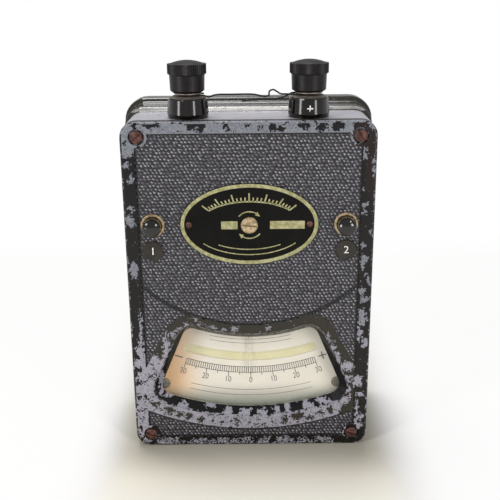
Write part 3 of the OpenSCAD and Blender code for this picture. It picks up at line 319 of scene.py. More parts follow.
# Flakes of paint that still hold on those areas
PAINT_FLAKES = (
    Patch(-42.5, 118.8, 0.7, 0.6),
    Patch(-39.6, 124.7, 1.3, 0.8),
    Patch(-33.3, 124.9, 2.8, 1.1),
    Patch(-19.6, 124.8, 1.8, 1.5),
    Patch(-16.6, 124.5, 1.7, 1.9),
    Patch(-23.6, 122.7, 0.5, 0.5),
    Patch(-7.3, 124.3, 1.0, 1.2),
    Patch(-3.6, 125.4, 0.5, 0.4),
    Patch(-0.9, 125.1, 1.1, 0.9),
    Patch(4.4, 124.0, 0.8, 0.9),
    Patch(8.2, 124.1, 1.4, 1.5),
    Patch(11.0, 123.2, 1.8, 0.9),
    Patch(12.0, 125.3, 0.7, 0.6),
    Patch(19.1, 124.5, 2.0, 1.3),
    Patch(25.0, 124.0, 2.1, 1.4),
    Patch(30.8, 124.3, 2.0, 1.8),
    Patch(-42.4, 32.5, 1.4, 1.2),
    Patch(-38.2, 29.6, 1.4, 0.6),
    Patch(-42.8, 27.3, 0.9, 1.4),
    Patch(-39.6, 20.9, 0.9, 1.0),
    Patch(-36.8, 18.5, 1.9, 0.9),
    Patch(-42.7, 21.2, 0.7, 0.8),
    Patch(-42.9, 8.0, 0.9, 1.0),
    Patch(-30.6, 15.3, 1.1, 1.1),
    Patch(-27.6, 13.4, 1.2, 1.1),
    Patch(-23.6, 12.9, 1.4, 1.2),
    Patch(-19.4, 11.6, 1.4, 1.2),
    Patch(-11.3, 9.8, 0.9, 0.5),
    Patch(-7.4, 9.9, 0.8, 0.5),
    Patch(13.0, 10.9, 1.6, 1.5),
    Patch(17.8, 12.6, 2.7, 1.7),
    Patch(22.3, 11.9, 1.5, 0.8),
    Patch(26.3, 14.0, 1.6, 0.8),
    Patch(30.5, 15.2, 1.5, 1.8),
    Patch(35.9, 16.8, 0.9, 0.7),
    Patch(36.3, 30.9, 1.3, 1.0),
    Patch(37.6, 25.6, 1.1, 1.2),
    Patch(36.4, 21.6, 0.9, 1.2),
    Patch(-33.4, 46.5, 1.3, 5.6),
    Patch(-42.6, 38.4, 1.0, 1.2),
    Patch(-43.6, 30.4, 0.7, 1.0),
    Patch(-33.6, 21.0, 0.8, 0.8),
    Patch(-41.0, 16.2, 0.8, 0.7),
    Patch(-25.0, 3.0, 2.4, 1.2),
    Patch(-15.5, 3.2, 2.0, 1.0),
    Patch(-8.0, 3.1, 1.2, 1.1),
    Patch(1.5, 3.0, 1.4, 1.6),
    Patch(8.5, 2.2, 1.6, 1.4),
    Patch(16.5, 3.2, 1.8, 0.9),
    Patch(23.0, 2.8, 1.2, 1.2),
)
# Chips in paint that is otherwise sound
CHIPS = (
    Patch(-20.6, 53.3, 1.2, 0.6),
    Patch(-23.3, 51.1, 1.7, 0.6),
    Patch(-18.3, 51.4, 1.0, 0.5),
    Patch(-26.8, 49.3, 1.8, 0.5),
    Patch(-29.0, 46.8, 0.9, 1.6),
    Patch(-14.2, 49.9, 2.2, 0.45),
    Patch(-9.8, 48.8, 1.6, 0.5),
    Patch(-6.0, 49.0, 1.3, 1.2),
    Patch(6.5, 49.4, 0.8, 1.0),
    Patch(16.5, 50.5, 0.5, 0.5),
    Patch(36.9, 118.8, 1.1, 0.7),
    Patch(42.0, 123.6, 1.6, 0.5),
    Patch(40.2, 114.3, 0.6, 2.0),
    Patch(43.7, 110.0, 0.6, 4.2),
    Patch(40.1, 102.3, 0.6, 1.2),
    Patch(40.8, 96.3, 0.9, 1.4),
    Patch(40.7, 93.5, 0.8, 0.9),
    Patch(43.4, 86.3, 0.6, 0.9),
    Patch(40.6, 81.0, 0.8, 1.2),
    Patch(41.0, 76.0, 1.3, 1.9),
    Patch(40.5, 73.0, 0.6, 1.4),
    Patch(41.5, 69.8, 0.6, 0.8),
    Patch(43.5, 68.0, 0.6, 1.6),
    Patch(40.7, 63.7, 1.0, 1.8),
    Patch(41.8, 60.2, 1.7, 1.3),
    Patch(41.2, 53.5, 1.5, 3.4),
    Patch(40.6, 46.5, 0.7, 3.4),
    Patch(42.8, 42.8, 0.9, 2.1),
    Patch(40.3, 27.2, 1.4, 2.5),
    Patch(41.8, 21.5, 1.7, 1.1),
    Patch(42.3, 12.0, 0.9, 1.7),
    Patch(40.4, 14.0, 0.6, 6.0),
    Patch(41.4, 7.9, 1.6, 1.3),
    Patch(36.3, 5.7, 0.9, 1.8),
)
# Bare places on the slope down to the glass
SLOPE_CHIPS = (
    Patch(-34.0, 27.0, 0.9, 6.0),
    Patch(-32.0, 20.6, 2.2, 0.7),
    Patch(-26.6, 16.6, 2.2, 1.5),
    Patch(-15.3, 16.6, 2.5, 1.3),
    Patch(-9.2, 13.7, 1.6, 1.7),
    Patch(-2.2, 13.3, 2.2, 1.4),
    Patch(4.6, 13.6, 1.8, 1.2),
    Patch(9.5, 14.4, 1.2, 1.6),
    Patch(13.9, 15.2, 1.1, 1.5),
    Patch(17.8, 18.0, 1.2, 0.7),
    Patch(21.6, 16.4, 2.0, 1.2),
    Patch(28.0, 18.0, 3.2, 0.9),
)
# The rusty corner round the upper right-hand screw
RUSTY_CORNER = (Patch(41.0, 120.5, 5.2, 6.5), Patch(42.6, 108.0, 1.8, 9.0))
# The window's surround, whose paint has turned olive
WINDOW_AREA = (Patch(0.0, 33.0, 39.0, 24.0, True),)
# The stippled field's outline
FIELD_AREA = (Patch(0.0, 62.85, 39.5, 59.05, True),)


def ragged(tree: Tree, place: Socket, reach: float, grain: float) -> Socket:
    """Shift places by a noise, so that the outlines drawn on them turn ragged.

    Args:
        tree: The material's node tree.
        place: Object coordinates in millimetres.
        reach: About how far places move, in millimetres.
        grain: Size of the coarsest shift.

    Returns:
        The shifted places.
    """
    drift = noise(tree, place, grain, 5.0, "Color")
    centred = add(tree, "VectorMath", {0: drift, 1: (0.5,) * 3}, operation="SUBTRACT")
    shift = {0: centred, 1: (4 * reach,) * 3, 2: place}
    return add(tree, "VectorMath", shift, operation="MULTIPLY_ADD")


def torn(tree: Tree, place: Socket, reach: float = 0.7, cell: float = 0.85) -> Socket:
    """Shift places by cells, so that the outlines drawn on them turn angular, as flaked paint's are.

    Args:
        tree: The material's node tree.
        place: Object coordinates in millimetres.
        reach: The farthest shift in millimetres.
        cell: Size of a cell.

    Returns:
        The shifted places.
    """
    bent = ragged(tree, place, 0.3, 0.9)
    cells = add(tree, "TexVoronoi", {"Vector": bent, "Scale": 1 / cell}, "Color")
    centred = add(tree, "VectorMath", {0: cells, 1: (0.5,) * 3}, operation="SUBTRACT")
    broad = ragged(tree, place, 0.6, 2.4)
    shift = {0: centred, 1: (2 * reach,) * 3, 2: broad}
    return add(tree, "VectorMath", shift, operation="MULTIPLY_ADD")


# Farther than any place of the front lies from a patch, in millimetres
FAR = 100.0


def outside(tree: Tree, place: Socket, patches: Iterable[Patch]) -> Socket:
    """Measure how far a place lies outside the nearest patch.

    Args:
        tree: The material's node tree.
        place: Object coordinates in millimetres.
        patches: The patches.

    Returns:
        The distance in millimetres, below zero inside a patch.
    """
    least: object = FAR
    for patch in patches:
        if patch.square:
            centre, half = (patch.x, 0.0, patch.z), (patch.half_width, 0.0, patch.half_height)
            offset = add(tree, "VectorMath", {0: place, 1: centre}, operation="SUBTRACT")
            offset = add(tree, "VectorMath", {0: offset}, operation="ABSOLUTE")
            offset = add(tree, "VectorMath", {0: offset, 1: half}, operation="SUBTRACT")
            sides = add(tree, "SeparateXYZ", {"Vector": offset})
            distance = calculate(tree, "MAXIMUM", sides, sides.node.outputs["Z"])
        else:
            share = (1 / patch.half_width, 0.0, 1 / patch.half_height)
            start = (-patch.x / patch.half_width, 0.0, -patch.z / patch.half_height)
            offset = add(tree, "VectorMath", {0: place, 1: share, 2: start}, operation="MULTIPLY_ADD")
            length = add(tree, "VectorMath", {0: offset}, "Value", operation="LENGTH")
            width = min(patch.half_width, patch.half_height)
            distance = add(tree, "Math", {0: length, 1: width, 2: -width}, operation="MULTIPLY_ADD")
        least = calculate(tree, "MINIMUM", least, distance)
    return least


def within(tree: Tree, place: Socket, patches: Iterable[Patch], edge: float = 0.08) -> Socket:
    """Give a mask that is 1 inside any of the patches, with an edge so many millimetres wide."""
    return fade(tree, outside(tree, place, patches), edge / 2, -edge / 2)


@dataclass(frozen=True)
class CoverEnamel(Finish):
    """Stoved black enamel on a die-cast cover: worn to grey metal on the rims, with a stippled field.

    The wear follows listed areas, flakes and chips with ragged outlines. It gives the front its
    patchwork of matt grey metal and black paint, and the field its close rows of nibs with painted glints.
    Steps are on a depth behind the front face, on a height above the floor, or on a noise, as each says.
    """

    title: str = "worn_stoved_enamel"
    slot: str = "enamel"
    # The field: its depth, and how far from that depth still counts as the field
    field_depth: float = 0.4
    field_reach: float = 0.03
    # The field's nibs, which carry painted glints; their steps are on the distance from a nib's middle
    dot_pitch: float = 1.37
    dot_scatter: float = 0.36
    nib_share: float = 0.8
    nib_rise: Step = Step(0.46, 0.08)
    nib_top: Step = Step(0.29, 0.06)
    nib_shine: Step = Step(0.0, 1.0, 0.1, 0.9)
    # Painted shade and soiling in the field's corner, on the distance from its outline
    grime_reach: Step = Step(1.1, 0.45)
    grime_strength: float = 0.95
    upper_rim_radius: float = 56.9
    lower_rim_radius: float = 100.0
    # On depth: the rims' flat face, the lip round the window and the joint with the gasket
    flat_face: Step = Step(0.06, 0.03)
    lip: Step = Step(0.7, 0.5)
    joint: Step = Step(1.0, 1.5)
    # On height: how much noise it takes for paint to be gone, and where the colours change
    speck_level: Step = Step(5.0, 4.0, 0.345, 0.47)
    scrap_level: Step = Step(50.0, 42.0, 0.2, 0.39)
    edge_level: Step = Step(118.0, 125.0, 0.56, 0.42)
    browner: Step = Step(112.0, 84.0)
    paler: Step = Step(60.0, 35.0)
    # On a noise: small round losses, and the gaps in the lip's wear
    pocks: Step = Step(0.665, 0.675)
    lip_gaps: Step = Step(0.45, 0.49)
    rust_edge: float = 1.2

    def shade(self, tree: Tree, place: Socket) -> Socket:
        """Build the rims' worn paint and the field's stipple, and choose between them by depth.

        Args:
            tree: The material's node tree.
            place: Object coordinates in millimetres.

        Returns:
            The shader's output socket.
        """
        depth = self.depth(tree, place)
        test = {0: depth, 1: self.field_depth, 2: self.field_reach}
        nearness = add(tree, "Math", test, operation="COMPARE")
        window = within(tree, place, WINDOW_AREA)
        flat = self.flat_face.on(tree, depth)
        rim = self.rim(tree, place, depth, flat, window)
        return add(tree, "MixShader", {"Fac": nearness, 1: rim, 2: self.stipple(tree, place)})

    def depth(self, tree: Tree, place: Socket) -> Socket:
        """Give the depth behind the front face in millimetres."""
        axes = add(tree, "SeparateXYZ", {"Vector": place})
        return calculate(tree, "SUBTRACT", axes.node.outputs["Y"], FRONT_Y / MM)

    def radius(self, tree: Tree, place: Socket) -> Socket:
        """Give the distance from the pointer's axis in millimetres.

        Args:
            tree: The material's node tree.
            place: Object coordinates in millimetres.

        Returns:
            The distance's socket.
        """
        pivot = centre_mm("core")
        share = {0: place, 1: (1.0, 0.0, 1.0), 2: (-pivot[0], 0.0, -pivot[2])}
        offset = add(tree, "VectorMath", share, operation="MULTIPLY_ADD")
        return add(tree, "VectorMath", {0: offset}, "Value", operation="LENGTH")

    def bare(self, tree: Tree, place: Socket, depth: Socket, flat: Socket, window: Socket) -> Socket:
        """Work out where the paint is gone.

        Args:
            tree: The material's node tree.
            place: Object coordinates in millimetres.
            depth: Depth behind the front face.
            flat: Mask of the rims' flat faces.
            window: Mask of the window's surroundings.

        Returns:
            A mask that is 1 on bare metal.
        """
        height = add(tree, "SeparateXYZ", {"Vector": place}).node.outputs["Z"]
        shifted = torn(tree, place)
        held = calculate(tree, "SUBTRACT", 1.0, within(tree, shifted, PAINT_FLAKES))
        areas = calculate(tree, "MULTIPLY", within(tree, shifted, BARE_AREAS), held)
        specks = above(tree, noise(tree, shifted, 1.0, 4.0), self.speck_level.on(tree, height))
        scraps = above(tree, noise(tree, shifted, 2.1, 2.0), self.scrap_level.on(tree, height))
        face = calculate(tree, "MULTIPLY", areas, calculate(tree, "MULTIPLY", specks, scraps))
        pocks = self.pocks.on(tree, noise(tree, place, 1.1, 4.0))
        losses = calculate(tree, "MAXIMUM", within(tree, shifted, CHIPS), pocks)
        face = calculate(tree, "MAXIMUM", face, losses)
        gaps = self.lip_gaps.on(tree, noise(tree, place, 1.6))
        lip = calculate(tree, "MULTIPLY", self.lip.on(tree, depth), gaps)
        slope = calculate(tree, "MAXIMUM", within(tree, shifted, SLOPE_CHIPS), lip)
        slope = calculate(tree, "MULTIPLY", window, slope)
        edge = above(tree, noise(tree, place, 1.8, 4.0), self.edge_level.on(tree, height), 0.02)
        edge = calculate(tree, "MULTIPLY", calculate(tree, "SUBTRACT", 1.0, window), edge)
        sides = calculate(tree, "ADD", slope, edge)
        sides = calculate(tree, "MULTIPLY", calculate(tree, "SUBTRACT", 1.0, flat), sides)
        return calculate(tree, "ADD", calculate(tree, "MULTIPLY", flat, face), sides)

    def paint(self, tree: Tree, place: Socket, height: Socket, flat: Socket, window: Socket) -> Socket:
        """Give the paint's colour: black, olive round the window and rusty in one corner.

        Args:
            tree: The material's node tree.
            place: Object coordinates in millimetres.
            height: Height above the floor.
            flat: Mask of the rims' flat faces.
            window: Mask of the window's surroundings.

        Returns:
            The colour's socket.
        """
        paint = blend_colours(tree, self.browner.on(tree, height), linear("#080709"), linear("#120f0b"))
        olive = calculate(tree, "MULTIPLY", window, flat)
        paint = blend_colours(tree, olive, paint, linear("#2e2a23"))
        slope = calculate(tree, "MULTIPLY", window, calculate(tree, "SUBTRACT", 1.0, flat))
        paint = blend_colours(tree, slope, paint, linear("#09080a"))
        rust = within(tree, torn(tree, place), RUSTY_CORNER, self.rust_edge)
        return blend_colours(tree, rust, paint, linear("#1d100d"))

    def rim(self, tree: Tree, place: Socket, depth: Socket, flat: Socket, window: Socket) -> Socket:
        """Build the smooth rims, where black paint has flaked off in ragged patches.

        Args:
            tree: The material's node tree.
            place: Object coordinates in millimetres.
            depth: Depth behind the front face.
            flat: Mask of the rims' flat faces.
            window: Mask of the window's surroundings.

        Returns:
            The shader's output socket.
        """
        height = add(tree, "SeparateXYZ", {"Vector": place}).node.outputs["Z"]
        bare = self.bare(tree, place, depth, flat, window)
        fine = noise(tree, place, 0.45)
        grain = fade(tree, fine, 0.3, 0.7)
        metal_high = blend_colours(tree, grain, linear("#696b73"), linear("#878990"))
        metal_low = blend_colours(tree, grain, linear("#85838d"), linear("#aaa7b1"))
        metal = blend_colours(tree, self.paler.on(tree, height), metal_high, metal_low)
        worn = blend_colours(tree, bare, self.paint(tree, place, height, flat, window), metal)
        joint = calculate(tree, "SUBTRACT", self.joint.on(tree, depth), window)
        pits = calculate(tree, "MULTIPLY", fine, 0.3)
        relief = calculate(tree, "ADD", calculate(tree, "MULTIPLY", bare, -1.0), pits)
        ports = {
            "Base Color": blend_colours(tree, joint, worn, linear("#2a2624")),
            "Roughness": fade(tree, bare, 0.0, 1.0, 0.26, 0.52),
            "Metallic": fade(tree, bare, 0.0, 1.0, 0.0, 0.25),
            "Specular IOR Level": 0.3,
            "Normal": add(tree, "Bump", {"Height": relief, "Distance": 0.09 * MM, "Strength": 1.0}),
        }
        return add(tree, "BsdfPrincipled", ports)

    def grime(self, tree: Tree, place: Socket) -> Socket:
        """Give a mask of the painted shade and soiling in the corner all round the field.

        Args:
            tree: The material's node tree.
            place: Object coordinates in millimetres.

        Returns:
            The mask's socket.
        """
        radius = self.radius(tree, place)
        nearest = calculate(tree, "ABSOLUTE", outside(tree, place, FIELD_AREA), 0.0)
        for arc in (self.upper_rim_radius, self.lower_rim_radius):
            away = calculate(tree, "ABSOLUTE", calculate(tree, "SUBTRACT", radius, arc), 0.0)
            nearest = calculate(tree, "MINIMUM", nearest, away)
        return self.grime_reach.on(tree, nearest)

    def stipple(self, tree: Tree, place: Socket) -> Socket:
        """Build the field's slanting nibs, with painted glints on top and painted shade between them.

        Args:
            tree: The material's node tree.
            place: Object coordinates in millimetres.

        Returns:
            The shader's output socket.
        """
        x = add(tree, "SeparateXYZ", {"Vector": ragged(tree, place, 0.22, 3.0)})
        z = x.node.outputs["Z"]
        row = self.dot_pitch * math.sqrt(3) / 2
        slant = calculate(tree, "MULTIPLY", z, 0.5 / row)
        along = calculate(tree, "ADD", calculate(tree, "DIVIDE", x, self.dot_pitch), slant)
        rows = add(tree, "CombineXYZ", {"X": along, "Y": calculate(tree, "DIVIDE", z, row)})
        ports = {"Vector": rows, "Scale": 1.0, "Randomness": self.dot_scatter}
        dots = add(tree, "TexVoronoi", ports, "Position", voronoi_dimensions="2D")
        offset = add(tree, "VectorMath", {0: rows, 1: dots}, operation="SUBTRACT")
        oblong = add(tree, "VectorMath", {0: offset, 1: (1.0, self.nib_share, 0.0)}, operation="MULTIPLY")
        distance = add(tree, "VectorMath", {0: oblong}, "Value", operation="LENGTH")
        height = self.nib_rise.on(tree, distance)
        chance = add(tree, "SeparateColor", {"Color": dots.node.outputs["Color"]})
        # Painted glints: a pale spot on each nib's top, brighter on some nibs than on others
        shine = calculate(tree, "MULTIPLY", self.nib_top.on(tree, distance), self.nib_shine.on(tree, chance))
        pores = fade(tree, noise(tree, place, 0.7, 3.0), 0.3, 0.7)
        low = blend_colours(tree, pores, linear("#19171a"), linear("#2c2a2f"))
        # Painted shade: the ground between the nibs is darker than their raised middles
        body = blend_colours(tree, height, low, linear("#4c4a50"))
        # Painted shade, with some soiling: the field turns near black along its sunken edges
        shade_and_soiling = calculate(tree, "MULTIPLY", self.grime(tree, place), self.grime_strength)
        colour = blend_colours(tree, shine, body, linear("#b3b1b7"))
        ports = {
            "Base Color": blend_colours(tree, shade_and_soiling, colour, linear("#080706")),
            "Roughness": 0.36,
            "Specular IOR Level": 0.4,
            "Normal": add(tree, "Bump", {"Height": height, "Distance": 0.16 * MM, "Strength": 1.0}),
        }
        return add(tree, "BsdfPrincipled", ports)


@dataclass(frozen=True)
class CaseEnamel(Finish):
    """Glossy black enamel on the cast case, rubbed through to pale metal on the ledge under the posts.

    A clear gloss over olive black covers the mouldings, whose bright lines are painted highlights, and a
    satin metal gives the ledge its even pale face. Small rubbed spots follow a fine noise.
    """

    title: str = "glossy_case_enamel"
    slot: str = "enamel"
    # The ledge's rubbed metal, by height and by depth, and the painted shade along its front by the cover
    ledge_face: Step = Step(LEDGE_Z - 2.2, LEDGE_Z - 0.6)
    ledge_back: Step = Step(23.3, 23.0)
    ledge_dirt: Step = Step(5.0, 3.6)
    # Rubbed spots, which are more common towards the top
    more_spots: Step = Step(LEDGE_Z - 1.5, LEDGE_Z + 0.5, 0.0, 0.05)
    spots: Step = Step(0.71, 0.73)
    # Painted highlights on the mouldings: where each begins and ends, how soft they are and how they fade
    lines: tuple[tuple[float, float], ...] = ((23.8, 25.2), (34.5, 35.9))
    line_edge: float = 0.4
    line_outward: Step = Step(12.0, 44.0, 1.0, 0.35)
    line_breaks: Step = Step(0.3, 0.5, 0.6, 1.0)
    line_height: Step = Step(LEDGE_Z - 0.6, LEDGE_Z)

    def shade(self, tree: Tree, place: Socket) -> Socket:
        """Build glossy paint, painted highlights, rubbed metal on the ledge and rubbed spots up top.

        Args:
            tree: The material's node tree.
            place: Object coordinates in millimetres.

        Returns:
            The shader's output socket.
        """
        axes = add(tree, "SeparateXYZ", {"Vector": place})
        height = axes.node.outputs["Z"]
        depth = calculate(tree, "SUBTRACT", axes.node.outputs["Y"], FRONT_Y / MM)
        level = calculate(tree, "MULTIPLY", self.ledge_face.on(tree, height), self.ledge_back.on(tree, depth))
        chance = calculate(tree, "ADD", noise(tree, place, 1.1, 5.0), self.more_spots.on(tree, height))
        lines = self.rubbed_lines(tree, place, axes, depth, height)
        paint = blend_colours(tree, noise(tree, place, 9.0), linear("#141411"), linear("#2d2b22"))
        worn_paint = blend_colours(tree, self.spots.on(tree, chance), paint, linear("#8d8b86"))
        # Painted highlights: near-white lines that stand for the overhead lamp's reflection on the mouldings
        worn_paint = blend_colours(tree, lines, worn_paint, linear("#eceae4"))
        metal = blend_colours(tree, noise(tree, place, 5.0), linear("#a3a1a9"), linear("#b9b7bf"))
        # Painted shade: the ledge's metal turns dark along its front, by the cover
        metal = blend_colours(tree, self.ledge_dirt.on(tree, depth), metal, linear("#3a3634"))
        satin = fade(tree, level, 0.0, 1.0, 0.1, 0.36)
        scuffs = fade(tree, noise(tree, place, 0.6), 0.3, 0.8, 0.0, 0.1)
        wave = noise(tree, place, 2.4)
        ports = {
            "Base Color": blend_colours(tree, level, worn_paint, metal),
            "Roughness": calculate(tree, "ADD", satin, scuffs),
            "Metallic": fade(tree, level, 0.0, 1.0, 0.0, 0.35),
            "Normal": add(tree, "Bump", {"Height": wave, "Distance": 0.02 * MM, "Strength": 1.0}),
        }
        return add(tree, "BsdfPrincipled", ports)

    def rubbed_lines(
        self, tree: Tree, place: Socket, across: Socket, depth: Socket, height: Socket
    ) -> Socket:
        """Give a mask of the two painted highlights, bright lines along the mouldings on the case's top.

        Args:
            tree: The material's node tree.
            place: Object coordinates in millimetres.
            across: Distance from the middle plane, to the right.
            depth: Depth behind the front face.
            height: Height above the floor.

        Returns:
            The mask's socket.
        """
        lines: object = 0.0
        for start, end in self.lines:
            front = fade(tree, depth, start, start + self.line_edge)
            back = fade(tree, depth, end, end - self.line_edge)
            lines = calculate(tree, "MAXIMUM", lines, calculate(tree, "MULTIPLY", front, back))
        outward = self.line_outward.on(tree, calculate(tree, "ABSOLUTE", across, 0.0))
        broken = self.line_breaks.on(tree, noise(tree, place, 3.0))
        strength = calculate(tree, "MULTIPLY", outward, broken)
        strength = calculate(tree, "MULTIPLY", strength, self.line_height.on(tree, height))
        return calculate(tree, "MULTIPLY", lines, strength)


@dataclass(frozen=True)
class DialPaint(Finish):
    """Aged cream paint on the dial plate, which gives the window its warm, even ground.

    It is browner towards the left, and painted darker towards the bottom as shade.
    """

    title: str = "aged_cream_paint"
    slot: str = "dial"
    # The brown stain, by X, and the painted shade at the foot, by height
    stain: Step = Step(-16.0, -33.0, 0.0, 0.9)
    dull_foot: Step = Step(24.0, 14.5, 0.0, 0.9)

    def shade(self, tree: Tree, place: Socket) -> Socket:
        """Build the paint with its two soft stains.

        Args:
            tree: The material's node tree.
            place: Object coordinates in millimetres.

        Returns:
            The shader's output socket.
        """
        axes = add(tree, "SeparateXYZ", {"Vector": place})
        cream = blend_colours(tree, noise(tree, place, 14.0), linear("#bbb2a8"), linear("#c3bbb2"))
        warm = blend_colours(tree, self.stain.on(tree, axes), cream, linear("#cc985f"))
        low = self.dull_foot.on(tree, axes.node.outputs["Z"])
        grain = {"Height": noise(tree, place, 0.4), "Distance": 0.006 * MM, "Strength": 1.0}
        ports = {
            # Painted shade: grey-green towards the dial's foot
            "Base Color": blend_colours(tree, low, warm, linear("#777970")),
            "Roughness": 0.55,
            "Normal": add(tree, "Bump", grain),
        }
        return add(tree, "BsdfPrincipled", ports)


@dataclass(frozen=True)
class WindowGlass(Finish):
    """Thin flat window glass: clear, with a bright reflection, and lamps shine through it."""

    title: str = "clear_window_glass"
    slot: str = "glass"
    tint: str = "#fbfdfa"

    def shade(self, tree: Tree, place: Socket) -> Socket:
        """Build clear glass that casts no shadow.

        Args:
            tree: The material's node tree.
            place: Object coordinates in millimetres, which plain glass has no use for.

        Returns:
            The shader's output socket.
        """
        ports = {"Base Color": linear(self.tint), "Roughness": 0.02, "IOR": 1.5, "Transmission Weight": 1.0}
        glass = add(tree, "BsdfPrincipled", ports)
        clear = add(tree, "BsdfTransparent")
        shadow = add(tree, "LightPath", out="Is Shadow Ray")
        return add(tree, "MixShader", {"Fac": shadow, 1: glass, 2: clear})


@dataclass(frozen=True)
class Floor(Finish):
    """A matt paper sweep that glows white behind and beside the object and is paper in front of it.

    The paper's colour runs from a tan grey at the object's foot to cream, in place of a soft contact
    shadow. Steps are on Y and on distances from the case, in millimetres.
    """

    title: str = "pale_paper_floor"
    slot: str = "enamel"
    glow_behind: Step = Step(20.0, 260.0)
    glow_before: Step = Step(6.0, 60.0, 0.0, 0.5)
    glow_beside: Step = Step(-2.0, 24.0, 0.0, 0.85)
    paler_before: Step = Step(0.0, 26.0)
    paler_beside: Step = Step(-6.0, 14.0)

    def shade(self, tree: Tree, place: Socket) -> Socket:
        """Build matt paper that turns to even white behind the object.

        Args:
            tree: The material's node tree.
            place: Object coordinates in millimetres.

        Returns:
            The shader's output socket.
        """
        axes = add(tree, "SeparateXYZ", {"Vector": place})
        behind = axes.node.outputs["Y"]
        before = calculate(tree, "SUBTRACT", FRONT_Y / MM, behind)
        beside = calculate(tree, "SUBTRACT", calculate(tree, "ABSOLUTE", axes, 0.0), CASE_HALF_WIDTH)
        glow = self.glow_behind.on(tree, behind)
        for near in (self.glow_before.on(tree, before), self.glow_beside.on(tree, beside)):
            glow = calculate(tree, "MAXIMUM", glow, near)
        paper = blend_colours(tree, self.paler_before.on(tree, before), linear("#bdb7a8"), linear("#efe8d6"))
        paper = blend_colours(tree, self.paler_beside.on(tree, beside), paper, linear("#efedea"))
        matt = add(tree, "BsdfPrincipled", {"Base Color": paper, "Roughness": 0.75})
        white = add(tree, "Emission", {"Color": (1.0, 1.0, 1.0, 1.0), "Strength": 1.0})
        return add(tree, "MixShader", {"Fac": glow, 1: matt, 2: white})


